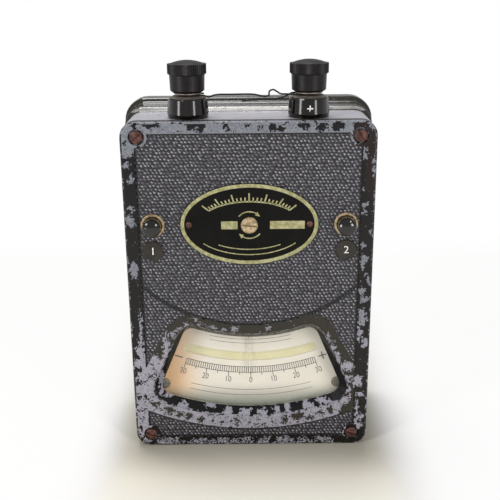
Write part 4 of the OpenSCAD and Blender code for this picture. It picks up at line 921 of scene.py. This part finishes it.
class Look(Enum):
    """The named finishes of the object's pieces."""

    COVER = CoverEnamel()
    CASE = CaseEnamel()
    DIAL = DialPaint()
    GLASS = WindowGlass()
    FLOOR = Floor()
    # Moulded phenolic, satin where fingers have dulled it: near black with a brown cast
    BAKELITE_SATIN = PlainFinish(
        "satin_moulded_phenolic", "bakelite", "#090608", "#130d0e", (0.3, 0.46),
        relief=0.02, blotch=2.5, specular=0.24)
    # Moulded phenolic as it left its polished mould: black, with sharp reflections
    BAKELITE_GLOSS = PlainFinish(
        "polished_moulded_phenolic", "bakelite", "#060506", "#140b09", (0.1, 0.16), relief=0.002, blotch=6.0)
    # Nickel-plated brass that has dulled to a tan grey: it takes the glare off the seats and washers
    NICKEL = PlainFinish(
        "dull_nickel_plate", "steel", "#6f675f", "#8f857a", (0.4, 0.6), 0.6, blotch=1.6, relief=0.02)
    # Turned mild steel: a clean grey with soft highlights on screws, springs and pivots
    STEEL = PlainFinish("turned_steel", "steel", "#8f8f8d", "#b9b9b6", (0.25, 0.4), 1.0)
    # Machined soft iron: a duller and darker grey than the steel beside it
    IRON = PlainFinish("machined_soft_iron", "iron", "#6f6f6f", "#8d8d8b", (0.4, 0.6), 1.0)
    # Brass under old lacquer, handled bright on its high spots
    BRASS = PlainFinish(
        "aged_lacquered_brass", "brass", "#9a8050", "#cfb68a", (0.26, 0.42), 0.8, blotch=1.4, relief=0.008)
    # Brass whose lacquer has gone pinkish and dull, as on the bushes and the zero screw
    BRASS_DULL = PlainFinish(
        "dull_pinkish_brass", "brass", "#8f7a5c", "#c9b48f", (0.3, 0.5), 0.55, blotch=1.5, relief=0.01)
    # Etched brass that has dulled to a greenish straw: the plate's border and rules stand out matt
    BRASS_PALE = PlainFinish(
        "etched_pale_brass", "brass", "#8b8758", "#aeab82", (0.4, 0.6), 0.2, blotch=1.3, relief=0.03)
    # Copper-washed steel that has rusted: dark reddish heads on the cover's screws and plate's pins
    COPPERED = PlainFinish(
        "rusty_coppered_steel", "screw_copper", "#3c2420", "#6a4238", (0.42, 0.65), 0.3,
        blotch=1.6, relief=0.03)
    # Black fill in the plate's etched ground: matt, so that the brass reads against it
    PLATE_BLACK = PlainFinish(
        "etched_plate_black_fill", "enamel", "#070705", "#0d0c09", (0.4, 0.6),
        blotch=5.0, relief=0.02, specular=0.12)
    # Worn enamel on the numbered discs: a warm dark grey behind the white figures
    DISC = PlainFinish(
        "painted_disc_enamel", "enamel", "#241f19", "#302b23", (0.42, 0.6),
        blotch=3.0, relief=0.03, specular=0.35)
    # Printing ink on the dial: a flat soft black
    INK = PlainFinish("printing_ink", "pointer_black", "#0e0d0c", "#1c1a18", (0.6, 0.7), relief=0.0)
    # White wax fill in engraved figures: a slightly uneven off-white
    WHITE_FILL = PlainFinish(
        "engraved_white_fill", "dial", "#d8d8d4", "#f2f2ee", (0.5, 0.7), relief=0.01, blotch=0.8)
    # Old silvering, yellowed by age and drawn matt: its flat straw colour is a painted reflection
    MIRROR = PlainFinish(
        "yellowed_silvering_painted_reflection", "mirror", "#b5ac87", "#bbb392", (0.5, 0.6), blotch=9.0, relief=0.0)
    # Brass that has browned under the glass, which keeps the dial's screw heads quiet
    BROWNED_BRASS = PlainFinish(
        "browned_brass", "brass", "#3f3a2a", "#5f5840", (0.4, 0.55), 0.4, blotch=1.2)
    # Polished black key tops, smooth enough to mirror the softboxes
    KEY_TOP = PlainFinish(
        "polished_key_phenolic", "bakelite", "#050403", "#0b0805", (0.03, 0.06), relief=0.001, specular=0.65)
    # Black rubber sheet: the dull dark line between cover and case
    RUBBER = PlainFinish("black_gasket_rubber", "gasket", "#0e0e0e", "#191817", (0.7, 0.9))
    # Waxed black covering on stiff wire: a thin dark line with a faint sheen
    WIRE = PlainFinish(
        "black_wire_covering", "black_wire", "#060606", "#100f0e", (0.4, 0.6),
        relief=0.02, blotch=1.0, specular=0.3)
    # Resin-bonded paper board: a warm brown for the insulators and contact boards
    LAMINATE = PlainFinish("laminated_board", "board", "#4f2f18", "#6b4526", (0.35, 0.5), blotch=3.0)
    # Red lacquer, as such magnets are painted
    MAGNET_PAINT = PlainFinish("red_magnet_paint", "magnet", "#5a1a14", "#7a2a20", (0.3, 0.5))
    # Bare drawn aluminium: the lightest grey in the movement
    ALUMINIUM = PlainFinish("bare_aluminium", "aluminium", "#b6b8ba", "#cfd0d1", (0.3, 0.45), 1.0)
    # Copper wire under clear enamel: a reddish sheen on the windings and hairsprings
    COPPER_WIRE = PlainFinish(
        "enamelled_copper", "copper_wire", "#8a4a2a", "#b56a3e", (0.3, 0.45), 0.8, blotch=1.0)
    # Paint on the pointer, faded close to the dial's own tone
    POINTER_PAINT = PlainFinish("faded_pointer_paint", "pointer_black", "#8d8674", "#a39c8a", (0.5, 0.6))


# The finish of each CAD node, apart from the wire, which a piece of this script stands for
NODE_LOOKS = {
    Look.COVER: ("front_cover",),
    Look.CASE: ("case",),
    Look.RUBBER: ("cover_gasket",),
    Look.COPPERED: ("cover_screws", "nameplate_pins"),
    Look.GLASS: ("window_glass",),
    Look.PLATE_BLACK: ("nameplate",),
    Look.DISC: ("key_disc_left", "key_disc_right"),
    Look.BAKELITE_SATIN: ("post_cap_left", "post_cap_right"),
    Look.BAKELITE_GLOSS: ("post_collar_left", "post_collar_right"),
    Look.KEY_TOP: ("key_button_left", "key_button_right"),
    Look.BROWNED_BRASS: ("dial_screws",),
    Look.BRASS_DULL: ("zero_screw", "key_bush_left", "key_bush_right"),
    Look.NICKEL: ("post_seats", "clamp_washer_left", "clamp_washer_right"),
    Look.STEEL: (
        "glass_retainer", "retainer_screws", "key_spring_left", "key_spring_right", "movement_screws",
        "coil_pivots", "back_screws"),
    Look.IRON: ("core", "pole_piece_left", "pole_piece_right"),
    Look.BRASS: (
        "zero_arm", "key_plunger_left", "key_plunger_right", "key_bush_nuts", "contact_studs",
        "post_studs", "solder_lugs", "post_nuts", "core_bridge", "front_bridge", "rear_bridge",
        "jewel_screws", "balance_weights", "dial_posts"),
    Look.LAMINATE: ("contact_boards", "post_insulators", "resistor_spool"),
    Look.MAGNET_PAINT: ("magnet",),
    Look.ALUMINIUM: ("coil_former",),
    Look.COPPER_WIRE: ("coil_winding", "resistor_winding", "hairspring_front", "hairspring_rear"),
    Look.POINTER_PAINT: ("pointer",),
    Look.DIAL: ("dial_plate",),
    Look.MIRROR: ("dial_mirror",),
}


def dress_nodes() -> None:
    """Give every CAD node its finish."""
    for look, names in NODE_LOOKS.items():
        for name in names:
            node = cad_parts[name]
            for slot in node.material_slots:
                slot.material = look.value.material()
            log.info("node %s: %s", name, look.value.title)


def finish_piece(
    name: str, shape: bmesh.types.BMesh, look: Look, body: str = STATIC_BODY, smooth: float = 35.0
) -> bpy.types.Object:
    """Turn a shape in millimetres and depths into a finished piece that rides on a body.

    Args:
        name: The piece's name.
        shape: Its mesh, which is used up.
        look: Its finish.
        body: The body that carries it.
        smooth: Edges sharper than this many degrees stay sharp.

    Returns:
        The new object.
    """
    bmesh.ops.recalc_face_normals(shape, faces=shape.faces)
    move = Matrix.Translation((0, FRONT_Y, 0)) @ Matrix.Scale(MM, 4)
    bmesh.ops.transform(shape, matrix=move, verts=shape.verts)
    mesh = bpy.data.meshes.new(name)
    shape.to_mesh(mesh)
    shape.free()
    mesh.shade_smooth()
    mesh.set_sharp_from_angle(angle=math.radians(smooth))
    piece = bpy.data.objects.new(name, mesh)
    bpy.context.scene.collection.objects.link(piece)
    mesh.materials.append(look.value.material())
    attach(piece, body)
    log.info("piece %s: %d faces, %s", name, len(mesh.polygons), look.value.title)
    return piece


def thicken(shape: bmesh.types.BMesh, travel: float) -> None:
    """Make closed solids of flat faces by drawing a copy of them along Y.

    Args:
        shape: The mesh, which holds flat faces only.
        travel: How far the copy lies behind them, or before them if it is below zero.
    """
    flat = shape.verts[:] + shape.edges[:] + shape.faces[:]
    grown = bmesh.ops.extrude_face_region(shape, geom=flat, use_keep_orig=True)["geom"]
    moved = [v for v in grown if isinstance(v, bmesh.types.BMVert)]
    bmesh.ops.translate(shape, verts=moved, vec=(0, travel, 0))


def extrude_edge(
    shape: bmesh.types.BMesh, ends: list[bmesh.types.BMVert], places: Sequence[tuple[float, float, float]]
) -> list[bmesh.types.BMVert]:
    """Draw an edge out to two new places, with a face between.

    Args:
        shape: The mesh that holds the edge.
        ends: The edge's two vertices.
        places: Where their copies go.

    Returns:
        The new edge's vertices, in the same order.
    """
    grown = bmesh.ops.extrude_edge_only(shape, edges=[shape.edges.get(ends)])["geom"]
    new = [part for part in grown if isinstance(part, bmesh.types.BMVert)]
    new.sort(key=lambda vertex: (vertex.co - ends[0].co).length)
    for vertex, place in zip(new, places):
        vertex.co = place
    return new


def add_band(
    shape: bmesh.types.BMesh, line: Sequence[tuple[float, float]], width: float, depth: float
) -> None:
    """Add a flat band of even width along a line, which is closed where its ends meet.

    Args:
        shape: The mesh that takes it.
        line: X and Z of the points along its middle.
        width: Its width.
        depth: Its depth behind the front face.
    """
    closed = line[0] == line[-1]
    ends: list[bmesh.types.BMVert] = []
    for place, point in enumerate(line):
        before = line[place - 1] if place else line[-2] if closed else line[0]
        after = line[place + 1] if place + 1 < len(line) else line[1] if closed else line[-1]
        along = (Vector(after) - Vector(before)).normalized() * width / 2
        sides = [(point[0] - side * along.y, depth, point[1] + side * along.x) for side in (-1, 1)]
        if ends:
            ends = extrude_edge(shape, ends, sides)
        else:
            ends = [shape.verts.new(side) for side in sides]
            shape.edges.new(ends)


def arc_line(
    centre: tuple[float, float], radius: float | tuple[float, float], start: float, end: float,
    steps: int = 48
) -> list[tuple[float, float]]:
    """Give points along a circular or oval arc.

    Args:
        centre: X and Z of its centre.
        radius: Its radius, or its half width and half height.
        start: Its first angle in degrees, counted from X towards Z.
        end: Its last angle.
        steps: How many pieces it is cut into.

    Returns:
        The points' X and Z.
    """
    wide, tall = radius if isinstance(radius, tuple) else (radius, radius)
    angles = [math.radians(start + (end - start) * i / steps) for i in range(steps + 1)]
    return [(centre[0] + wide * math.cos(a), centre[1] + tall * math.sin(a)) for a in angles]


def add_block(
    shape: bmesh.types.BMesh, x: tuple[float, float], depth: tuple[float, float], z: tuple[float, float]
) -> None:
    """Add a box between two limits along each axis.

    Args:
        shape: The mesh that takes it.
        x: Its limits in X.
        depth: The depths of its front and back.
        z: Its limits in Z.
    """
    cube = bmesh.ops.create_cube(shape, size=1.0)["verts"]
    size = (x[1] - x[0], depth[1] - depth[0], z[1] - z[0])
    middle = (sum(x) / 2, sum(depth) / 2, sum(z) / 2)
    bmesh.ops.scale(shape, vec=size, verts=cube)
    bmesh.ops.translate(shape, vec=middle, verts=cube)


# Height of a capital of the built-in font at a size of 1
CAPITAL = 0.69


def add_text(
    shape: bmesh.types.BMesh, words: str, height: float, at: tuple[float, float], front: float,
    thick: float, turn: float = 0.0, squeeze: float = 1.0
) -> None:
    """Add upright characters with their middle at a point of the front.

    Args:
        shape: The mesh that takes them.
        words: The characters.
        height: Height of a capital in millimetres.
        at: X and Z of their middle.
        front: The depth of their front.
        thick: How far they reach behind it.
        turn: Turn in degrees, counter-clockwise as seen from the front.
        squeeze: Width as a share of the font's own.
    """
    curve = bpy.data.curves.new("characters", "FONT")
    curve.body = words
    curve.align_x = "CENTER"
    curve.align_y = "CENTER"
    curve.resolution_u = 6
    curve.extrude = thick / 2
    writing = bpy.data.objects.new("characters", curve)
    bpy.context.scene.collection.objects.link(writing)
    bpy.context.view_layer.update()
    flat = writing.to_mesh()
    scale = height / CAPITAL
    flat.transform(
        Matrix.Translation((at[0], front + thick / 2, at[1]))
        @ Matrix.Rotation(math.radians(-turn), 4, "Y")
        @ Matrix.Rotation(math.radians(90), 4, "X")
        @ Matrix.Diagonal((scale * squeeze, scale, 1.0, 1.0)))
    shape.from_mesh(flat)
    writing.to_mesh_clear()
    bpy.data.objects.remove(writing)
    bpy.data.curves.remove(curve)


@dataclass
class Dial:
    """The printed scale on the dial plate. Its radii are about the pointer's axis."""

    # X and Z of the pointer's axis
    pivot: tuple[float, float] = field(default_factory=lambda: (0.0, centre_mm("core")[2]))
    # The scale: its two arcs, the angle of a division and the ends of the longer ticks
    inner_arc: float = 77.5
    outer_arc: float = 79.9
    division: float = 0.613
    divisions: int = 30
    five_tick: float = 81.0
    ten_tick: float = 82.0
    figures: float = 83.15
    figure_height: float = 2.35
    figure_squeeze: float = 0.78
    figure_step: int = 10
    line: float = 0.26
    ink: float = 0.02
    # How far the screws' heads stand before the plate
    head_rise: float = 1.1
    # The plus and minus signs at the scale's ends
    sign_place: tuple[float, float] = (27.6, 34.6)
    sign_size: float = 3.2
    sign_line: float = 0.5
    sign_lean: float = 18.0
    # Plain rules above and below the scale: their radii and half angles in degrees
    title_rules: tuple[float, float] = (65.9, 67.5)
    title_reach: float = 13.5
    foot_rules: tuple[float, float] = (87.3, 89.6)
    foot_reach: float = 15.5
    rule_share: float = 0.7

    def at(self, radius: float, angle: float) -> tuple[float, float]:
        """Give X and Z at a radius and an angle in degrees from straight down, with plus to the right."""
        turn = math.radians(angle)
        return self.pivot[0] + radius * math.sin(turn), self.pivot[1] - radius * math.cos(turn)

    def arc(self, shape: bmesh.types.BMesh, radius: float, half: float, width: float, depth: float) -> None:
        """Print a line along an arc about the pointer's axis.

        Args:
            shape: The mesh that takes it.
            radius: The arc's radius.
            half: Its half angle in degrees.
            width: The line's width.
            depth: The depth of the ink's front.
        """
        add_band(shape, arc_line(self.pivot, radius, 270 - half, 270 + half), width, depth)

    def scale(self, shape: bmesh.types.BMesh, front: float) -> None:
        """Print the two arcs and the ticks.

        Args:
            shape: The mesh that takes them.
            front: The depth of the ink's front.
        """
        half = self.division * self.divisions
        for radius in (self.inner_arc, self.outer_arc):
            self.arc(shape, radius, half, self.line, front)
        for count in range(-self.divisions, self.divisions + 1):
            end = self.outer_arc
            if count % 10 == 0:
                end = self.ten_tick
            elif count % 5 == 0:
                end = self.five_tick
            angle = count * self.division
            add_band(shape, (self.at(self.inner_arc, angle), self.at(end, angle)), self.line, front)

    def rules(self, shape: bmesh.types.BMesh, front: float) -> None:
        """Print the plain rules above and below the scale.

        Args:
            shape: The mesh that takes them.
            front: The depth of the ink's front.
        """
        for radii, reach in ((self.title_rules, self.title_reach), (self.foot_rules, self.foot_reach)):
            for radius in radii:
                self.arc(shape, radius, reach, self.line * self.rule_share, front)

    def signs(self, shape: bmesh.types.BMesh, front: float) -> None:
        """Print a minus at the left end and a plus at the right, each leaning as the scale does.

        Args:
            shape: The mesh that takes them.
            front: The depth of the ink's front.
        """
        for side in (-1, 1):
            x, z = side * self.sign_place[0], self.sign_place[1]
            slope = math.radians(self.sign_lean * side)
            along = Vector((math.cos(slope), math.sin(slope))) * self.sign_size / 2
            strokes = (along, Vector((-along.y, along.x)))[: 1 if side < 0 else 2]
            for stroke in strokes:
                ends = ((x - stroke.x, z - stroke.y), (x + stroke.x, z + stroke.y))
                add_band(shape, ends, self.sign_line, front)

    def build(self) -> None:
        """Print the arcs, ticks, figures, signs and plain rules on the plate."""
        front = front_depth("dial_screws") + self.head_rise - self.ink
        shape = bmesh.new()
        self.scale(shape, front)
        self.rules(shape, front)
        self.signs(shape, front)
        thicken(shape, self.ink)
        for figure in range(-self.divisions, self.divisions + 1, self.figure_step):
            angle = figure * self.division
            add_text(
                shape, str(abs(figure)), self.figure_height, self.at(self.figures, angle), front,
                self.ink, turn=angle, squeeze=self.figure_squeeze)
        finish_piece("dial_printing", shape, Look.INK)


@dataclass
class Nameplate:
    """The raised brass of the oval plate: its border, blank fields, a graduated arch and plain rules."""

    half_width: float = 24.45
    half_height: float = 14.8
    edge: float = 0.06
    border: float = 1.28
    border_steps: int = 120
    relief: float = 0.15
    # Two blank bars beside the zero screw, by their ends in X
    bars: tuple[tuple[float, float], ...] = ((-10.0, -4.2), (7.3, 19.6))
    bar_height: float = 2.9
    # The arch: the insets of its top and foot, its first angle and its ticks
    arch_insets: tuple[float, float] = (3.4, 6.4)
    arch_start: float = 38.0
    arch_ticks: int = 24
    arch_long_tick: int = 4
    arch_line: float = 0.5
    # The two rules at the foot: their insets and half angles in degrees
    foot_insets: tuple[float, float] = (3.6, 5.6)
    foot_reaches: tuple[float, float] = (52.0, 36.0)
    rule_share: float = 0.7
    # The curved arrows about the zero screw: the angles of tail and head foot, and the head's size
    arrows: tuple[tuple[float, float], ...] = ((140.0, 60.0), (320.0, 240.0))
    arrow_radius: float = 4.9
    arrow_size: float = 0.8
    arrow_head: float = 20.0

    def oval(self, inset: float, start: float, end: float, steps: int = 48) -> list[tuple[float, float]]:
        """Give an arc of the plate's oval, drawn in by an inset, between two angles in degrees."""
        x, _, z = centre_mm("nameplate")
        return arc_line((x, z), (self.half_width - inset, self.half_height - inset), start, end, steps)

    def arch(self, shape: bmesh.types.BMesh, depth: float) -> None:
        """Raise a graduated arch above the zero screw, as on a plain protractor.

        Args:
            shape: The mesh that takes it.
            depth: The depth of its face.
        """
        near, far = self.arch_insets
        end = 180 - self.arch_start
        low = self.oval(far, self.arch_start, end, self.arch_ticks)
        high = self.oval(near, self.arch_start, end, self.arch_ticks)
        half_way = self.oval((near + far) / 2, self.arch_start, end, self.arch_ticks)
        for count, foot in enumerate(low):
            top = half_way[count] if count % self.arch_long_tick else high[count]
            add_band(shape, (foot, top), self.arch_line, depth)
        add_band(shape, self.oval(far, self.arch_start, end), self.arch_line, depth)

    def arrow(self, shape: bmesh.types.BMesh, start: float, end: float, depth: float) -> None:
        """Raise a curved arrow about the zero screw.

        Args:
            shape: The mesh that takes it.
            start: The angle of its tail in degrees.
            end: The angle at the foot of its head.
            depth: The depth of its face.
        """
        x, _, z = centre_mm("zero_screw")
        add_band(shape, arc_line((x, z), self.arrow_radius, start, end, 16), self.arrow_size / 2, depth)
        tip = end + math.copysign(self.arrow_head, end - start)
        corners = ((self.arrow_size, end), (-self.arrow_size, end), (0.0, tip))
        places = [arc_line((x, z), self.arrow_radius + step, angle, angle, 1)[0] for step, angle in corners]
        shape.faces.new([shape.verts.new((place[0], depth, place[1])) for place in places])

    def build(self) -> None:
        """Raise the border, the bars, the arch, the rules and the arrows from the black ground."""
        face = front_depth("nameplate")
        shape = bmesh.new()
        ring = self.oval(self.edge + self.border / 2, 0, 360, self.border_steps)
        ring[-1] = ring[0]
        add_band(shape, ring, self.border, face)
        # The ring's two ends become one
        bmesh.ops.remove_doubles(shape, verts=shape.verts, dist=0.001)
        middle = centre_mm("zero_screw")[2]
        for low, high in self.bars:
            add_band(shape, ((low, middle), (high, middle)), self.bar_height, face)
        self.arch(shape, face)
        for inset, reach in zip(self.foot_insets, self.foot_reaches):
            rule = self.oval(inset, 270 - reach, 270 + reach)
            add_band(shape, rule, self.arch_line * self.rule_share, face)
        for start, end in self.arrows:
            self.arrow(shape, start, end, face)
        thicken(shape, -self.relief)
        finish_piece("nameplate_border", shape, Look.BRASS_PALE)


@dataclass
class Markings:
    """White figures on the key discs and the plus sign on the right-hand collar."""

    figure_height: float = 2.7
    fill: float = 0.03
    # The plus: its size and line, its height above the ledge, how far behind the collar's frontmost
    # point its face lies, how far it leans back with the collar, and its depth
    plus_size: float = 2.1
    plus_line: float = 0.42
    plus_rise: float = 3.5
    plus_back: float = 0.2
    plus_tilt: float = 4.3
    plus_depth: float = 0.4

    def figure(self, side: str, words: str) -> None:
        """Fill the figure on one key disc with white.

        Args:
            side: The disc's side, left or right.
            words: The figure.
        """
        node = f"key_disc_{side}"
        x, _, z = centre_mm(node)
        shape = bmesh.new()
        add_text(shape, words, self.figure_height, (x, z), front_depth(node) - self.fill, self.fill)
        finish_piece(f"key_figure_{side}", shape, Look.WHITE_FILL)

    def plus(self) -> None:
        """Fill the plus on the right-hand collar with white."""
        x, _, _ = centre_mm("post_collar_right")
        z = LEDGE_Z + self.plus_rise
        surface = front_depth("post_collar_right") + self.plus_back
        depths = (surface - self.fill, surface + self.plus_depth)
        long, short = self.plus_size / 2, self.plus_line / 2
        shape = bmesh.new()
        for half_x, half_z in ((long, short), (short, long)):
            add_block(shape, (x - half_x, x + half_x), depths, (z - half_z, z + half_z))
        tilt = Matrix.Rotation(math.radians(-self.plus_tilt), 3, "X")
        bmesh.ops.rotate(shape, cent=(x, surface, z), matrix=tilt, verts=shape.verts)
        finish_piece("collar_plus", shape, Look.WHITE_FILL)

    def build(self) -> None:
        """Fill the figures and the sign."""
        self.figure("left", "1")
        self.figure("right", "2")
        self.plus()


@dataclass
class ShortingWire:
    """The thin stiff wire that joins the two posts, with a loose curl and a loose end.

    Its route points are an X from the middle, a distance behind the posts' axis and a height above the
    case's ledge. The wire starts beside the left post, goes round both posts and ends between them.
    """

    diameter: float = 0.6
    length: float = 92.0
    turn_radius: float = 2.48
    turn_steps: int = 5
    # Height above the ledge of the middle of the gap under the clamping washers
    clamp_height: float = 7.85
    # Steps of the smooth line between two route points
    steps: int = 6
    # The angles of the turns round the left and the right post, in degrees
    left_turn: tuple[float, float] = (60.0, 300.0)
    right_turn: tuple[float, float] = (240.0, 480.0)

    def turn(self, x: float, start: float, end: float) -> list[Vector]:
        """Give the points of a turn round a post.

        Args:
            x: The post's X.
            start: The turn's first angle in degrees.
            end: Its last angle.

        Returns:
            The points.
        """
        points = []
        for x_place, behind in arc_line((x, 0.0), self.turn_radius, start, end, self.turn_steps):
            points.append(Vector((x_place, behind, self.clamp_height)))
        return points

    def route(self) -> list[Vector]:
        """Give the listed points that the wire passes.

        Returns:
            The points from the left post's end of the wire to its loose end.
        """
        right = centre_mm("post_cap_right")[0]
        left = centre_mm("post_cap_left")[0]
        held = self.clamp_height
        tail = [(left + 5.6, 2.6, held), (left + 3.4, 2.9, held)]
        span = [
            (left + 3.4, -2.8, held), (left + 5.8, -3.1, held), (-13.7, -2.8, 7.3), (-11.9, -2.2, 7.8),
            (-9.6, -1.8, 8.0), (-6.0, -1.2, 7.9), (-1.0, -0.8, 7.9), (1.9, -0.9, 7.8), (4.0, -1.0, 7.4),
            (5.9, -1.2, 7.1), (7.2, -0.9, 7.4), (7.25, -0.6, 8.0), (7.6, 0.0, 8.9), (8.9, 0.4, 9.2),
            (10.2, 0.0, 8.5), (11.4, -0.6, 7.9), (13.4, -1.4, 7.9), (right - 5.4, -2.2, held),
            (right - 3.4, -2.7, held)]
        loose = [
            (right - 3.6, 2.5, held), (right - 6.0, 1.8, held), (13.2, 0.4, 7.0), (10.4, -0.6, 6.3),
            (6.0, -1.2, 6.1), (1.5, -1.4, 5.9), (-2.2, -1.5, 5.7)]
        first, second, third = ([Vector(point) for point in part] for part in (tail, span, loose))
        round_left, round_right = self.turn(left, *self.left_turn), self.turn(right, *self.right_turn)
        return first + round_left + second + round_right + third

    def line(self) -> list[Vector]:
        """Give a smooth line through the route, in the frame's metres.

        Returns:
            The line's points.
        """
        route = self.route()
        padded = [route[0], *route, route[-1]]
        behind = centre_mm("post_studs")[1]
        line = []
        for before, start, end, after in zip(padded, padded[1:], padded[2:], padded[3:]):
            for step in range(self.steps):
                t = step / self.steps
                point = 0.5 * (
                    2 * start + t * (end - before) + t * t * (2 * before - 5 * start + 4 * end - after)
                    + t**3 * (3 * start - before - 3 * end + after))
                line.append(in_frame(point.x, behind + point.y, LEDGE_Z + point.z))
        line.append(in_frame(route[-1].x, behind + route[-1].y, LEDGE_Z + route[-1].z))
        return line

    def build(self) -> None:
        """Draw the wire in place of its CAD solid."""
        line = self.line()
        curve = bpy.data.curves.new("shorting_wire_covering", "CURVE")
        curve.dimensions = "3D"
        curve.bevel_depth = self.diameter / 2 * MM
        curve.bevel_resolution = 3
        curve.use_fill_caps = True
        spline = curve.splines.new("POLY")
        spline.points.add(len(line) - 1)
        for point, place in zip(spline.points, line):
            point.co = (*place, 1.0)
        wire = bpy.data.objects.new("shorting_wire_covering", curve)
        bpy.context.scene.collection.objects.link(wire)
        curve.materials.append(Look.WIRE.value.material())
        real = sum((end - start).length for start, end in zip(line, line[1:]))
        log.info("piece shorting_wire_covering: %.4f m long", real)
        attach(wire, STATIC_BODY)
        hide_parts("shorting_wire")


@dataclass(frozen=True)
class Softbox:
    """A soft rectangular lamp that faces a height on the middle axis. Its lengths are metres."""

    name: str
    place: tuple[float, float, float]
    size: tuple[float, float]
    watts: float
    aim: float

    def hang(self) -> None:
        """Add the lamp to the scene."""
        light = bpy.data.lights.new(self.name, "AREA")
        light.shape = "RECTANGLE"
        light.size, light.size_y = self.size
        light.energy = self.watts
        lamp = bpy.data.objects.new(self.name, light)
        lamp.location = Vector(self.place)
        towards = Vector((0, 0, self.aim)) - lamp.location
        lamp.rotation_euler = towards.to_track_quat("-Z", "Y").to_euler()
        bpy.context.scene.collection.objects.link(lamp)


# Two tall softboxes stand before the object, and a wide one hangs over it
SOFTBOXES = (
    Softbox("left_softbox", (-0.53, -0.45, 0.41), (0.13, 0.80), 3.3, 0.41),
    Softbox("right_softbox", (0.44, -0.58, 0.41), (0.12, 0.80), 2.8, 0.41),
    Softbox("overhead_softbox", (-0.10, 0.22, 0.92), (0.50, 0.30), 5.6, 0.06),
)


@dataclass
class Studio:
    """The paper floor, the lamps and the camera at the photograph's place."""

    # The camera: its lens, its three turns in degrees, the X and Z it faces and how far off it stands
    focal_px: float = 800.0
    picture_px: int = 500
    sensor: float = 36.0
    pitch: float = 18.25
    yaw: float = 0.04
    roll: float = -0.53
    aim: tuple[float, float] = (0.14, 79.87)
    distance: float = 286.6
    # The world's strength as light, and as reflections see it. The camera and glass see it at 1.
    fill_world: float = 0.26
    mirrored_world: float = 0.5
    # Half the floor's side in metres
    floor_reach: float = 20.0

    def camera(self) -> None:
        """Place the camera where the photograph was taken from."""
        pitch, yaw, roll = (math.radians(a) for a in (self.pitch, self.yaw, self.roll))
        back = Vector((math.sin(yaw) * math.cos(pitch), -math.cos(yaw) * math.cos(pitch), math.sin(pitch)))
        right = Vector((math.cos(yaw), math.sin(yaw), 0))
        up = back.cross(right)
        rolled = math.cos(roll) * right + math.sin(roll) * up
        lens = bpy.data.cameras.new("photo_camera")
        lens.sensor_width = self.sensor
        lens.lens = self.focal_px * self.sensor / self.picture_px
        lens.clip_start = 0.01
        camera = bpy.data.objects.new("photo_camera", lens)
        turn = Matrix((rolled, back.cross(rolled), back)).transposed().to_4x4()
        place = in_frame(self.aim[0], 0, self.aim[1]) + back * self.distance * MM
        camera.matrix_world = Matrix.Translation(place) @ turn
        bpy.context.scene.collection.objects.link(camera)
        bpy.context.scene.camera = camera

    def floor(self) -> None:
        """Lay the paper floor."""
        shape = bmesh.new()
        bmesh.ops.create_grid(shape, x_segments=1, y_segments=1, size=self.floor_reach)
        mesh = bpy.data.meshes.new("paper_floor")
        shape.to_mesh(mesh)
        shape.free()
        floor = bpy.data.objects.new("paper_floor", mesh)
        mesh.materials.append(Look.FLOOR.value.material())
        bpy.context.scene.collection.objects.link(floor)

    def world(self) -> None:
        """Make a plain white world that is dimmer as light than it looks."""
        world = bpy.data.worlds.new("studio")
        bpy.context.scene.world = world
        world.use_nodes = True
        tree = world.node_tree
        tree.nodes.clear()
        rays = add(tree, "LightPath").node.outputs
        seen = calculate(tree, "MAXIMUM", rays["Is Camera Ray"], rays["Is Transmission Ray"])
        strength = fade(tree, seen, 0.0, 1.0, self.fill_world, 1.0)
        mirrored = calculate(tree, "MULTIPLY", rays["Is Glossy Ray"], self.mirrored_world)
        strength = calculate(tree, "MAXIMUM", strength, mirrored)
        background = add(tree, "Background", {"Color": (1.0, 1.0, 1.0, 1.0), "Strength": strength})
        add(tree, "OutputWorld", {"Surface": background})

    def build(self) -> None:
        """Set up the floor, world, lamps and camera."""
        self.floor()
        self.world()
        for softbox in SOFTBOXES:
            softbox.hang()
        self.camera()
        bpy.context.scene.view_settings.view_transform = "Standard"


def main() -> None:
    """Build the studio, dress the CAD nodes and add the fine pieces."""
    logging.basicConfig(level=logging.INFO, format="%(name)s: %(message)s")
    Studio().build()
    dress_nodes()
    for part in (ShortingWire(), Dial(), Nameplate(), Markings()):
        part.build()


if __name__ == "__main__":
    main()
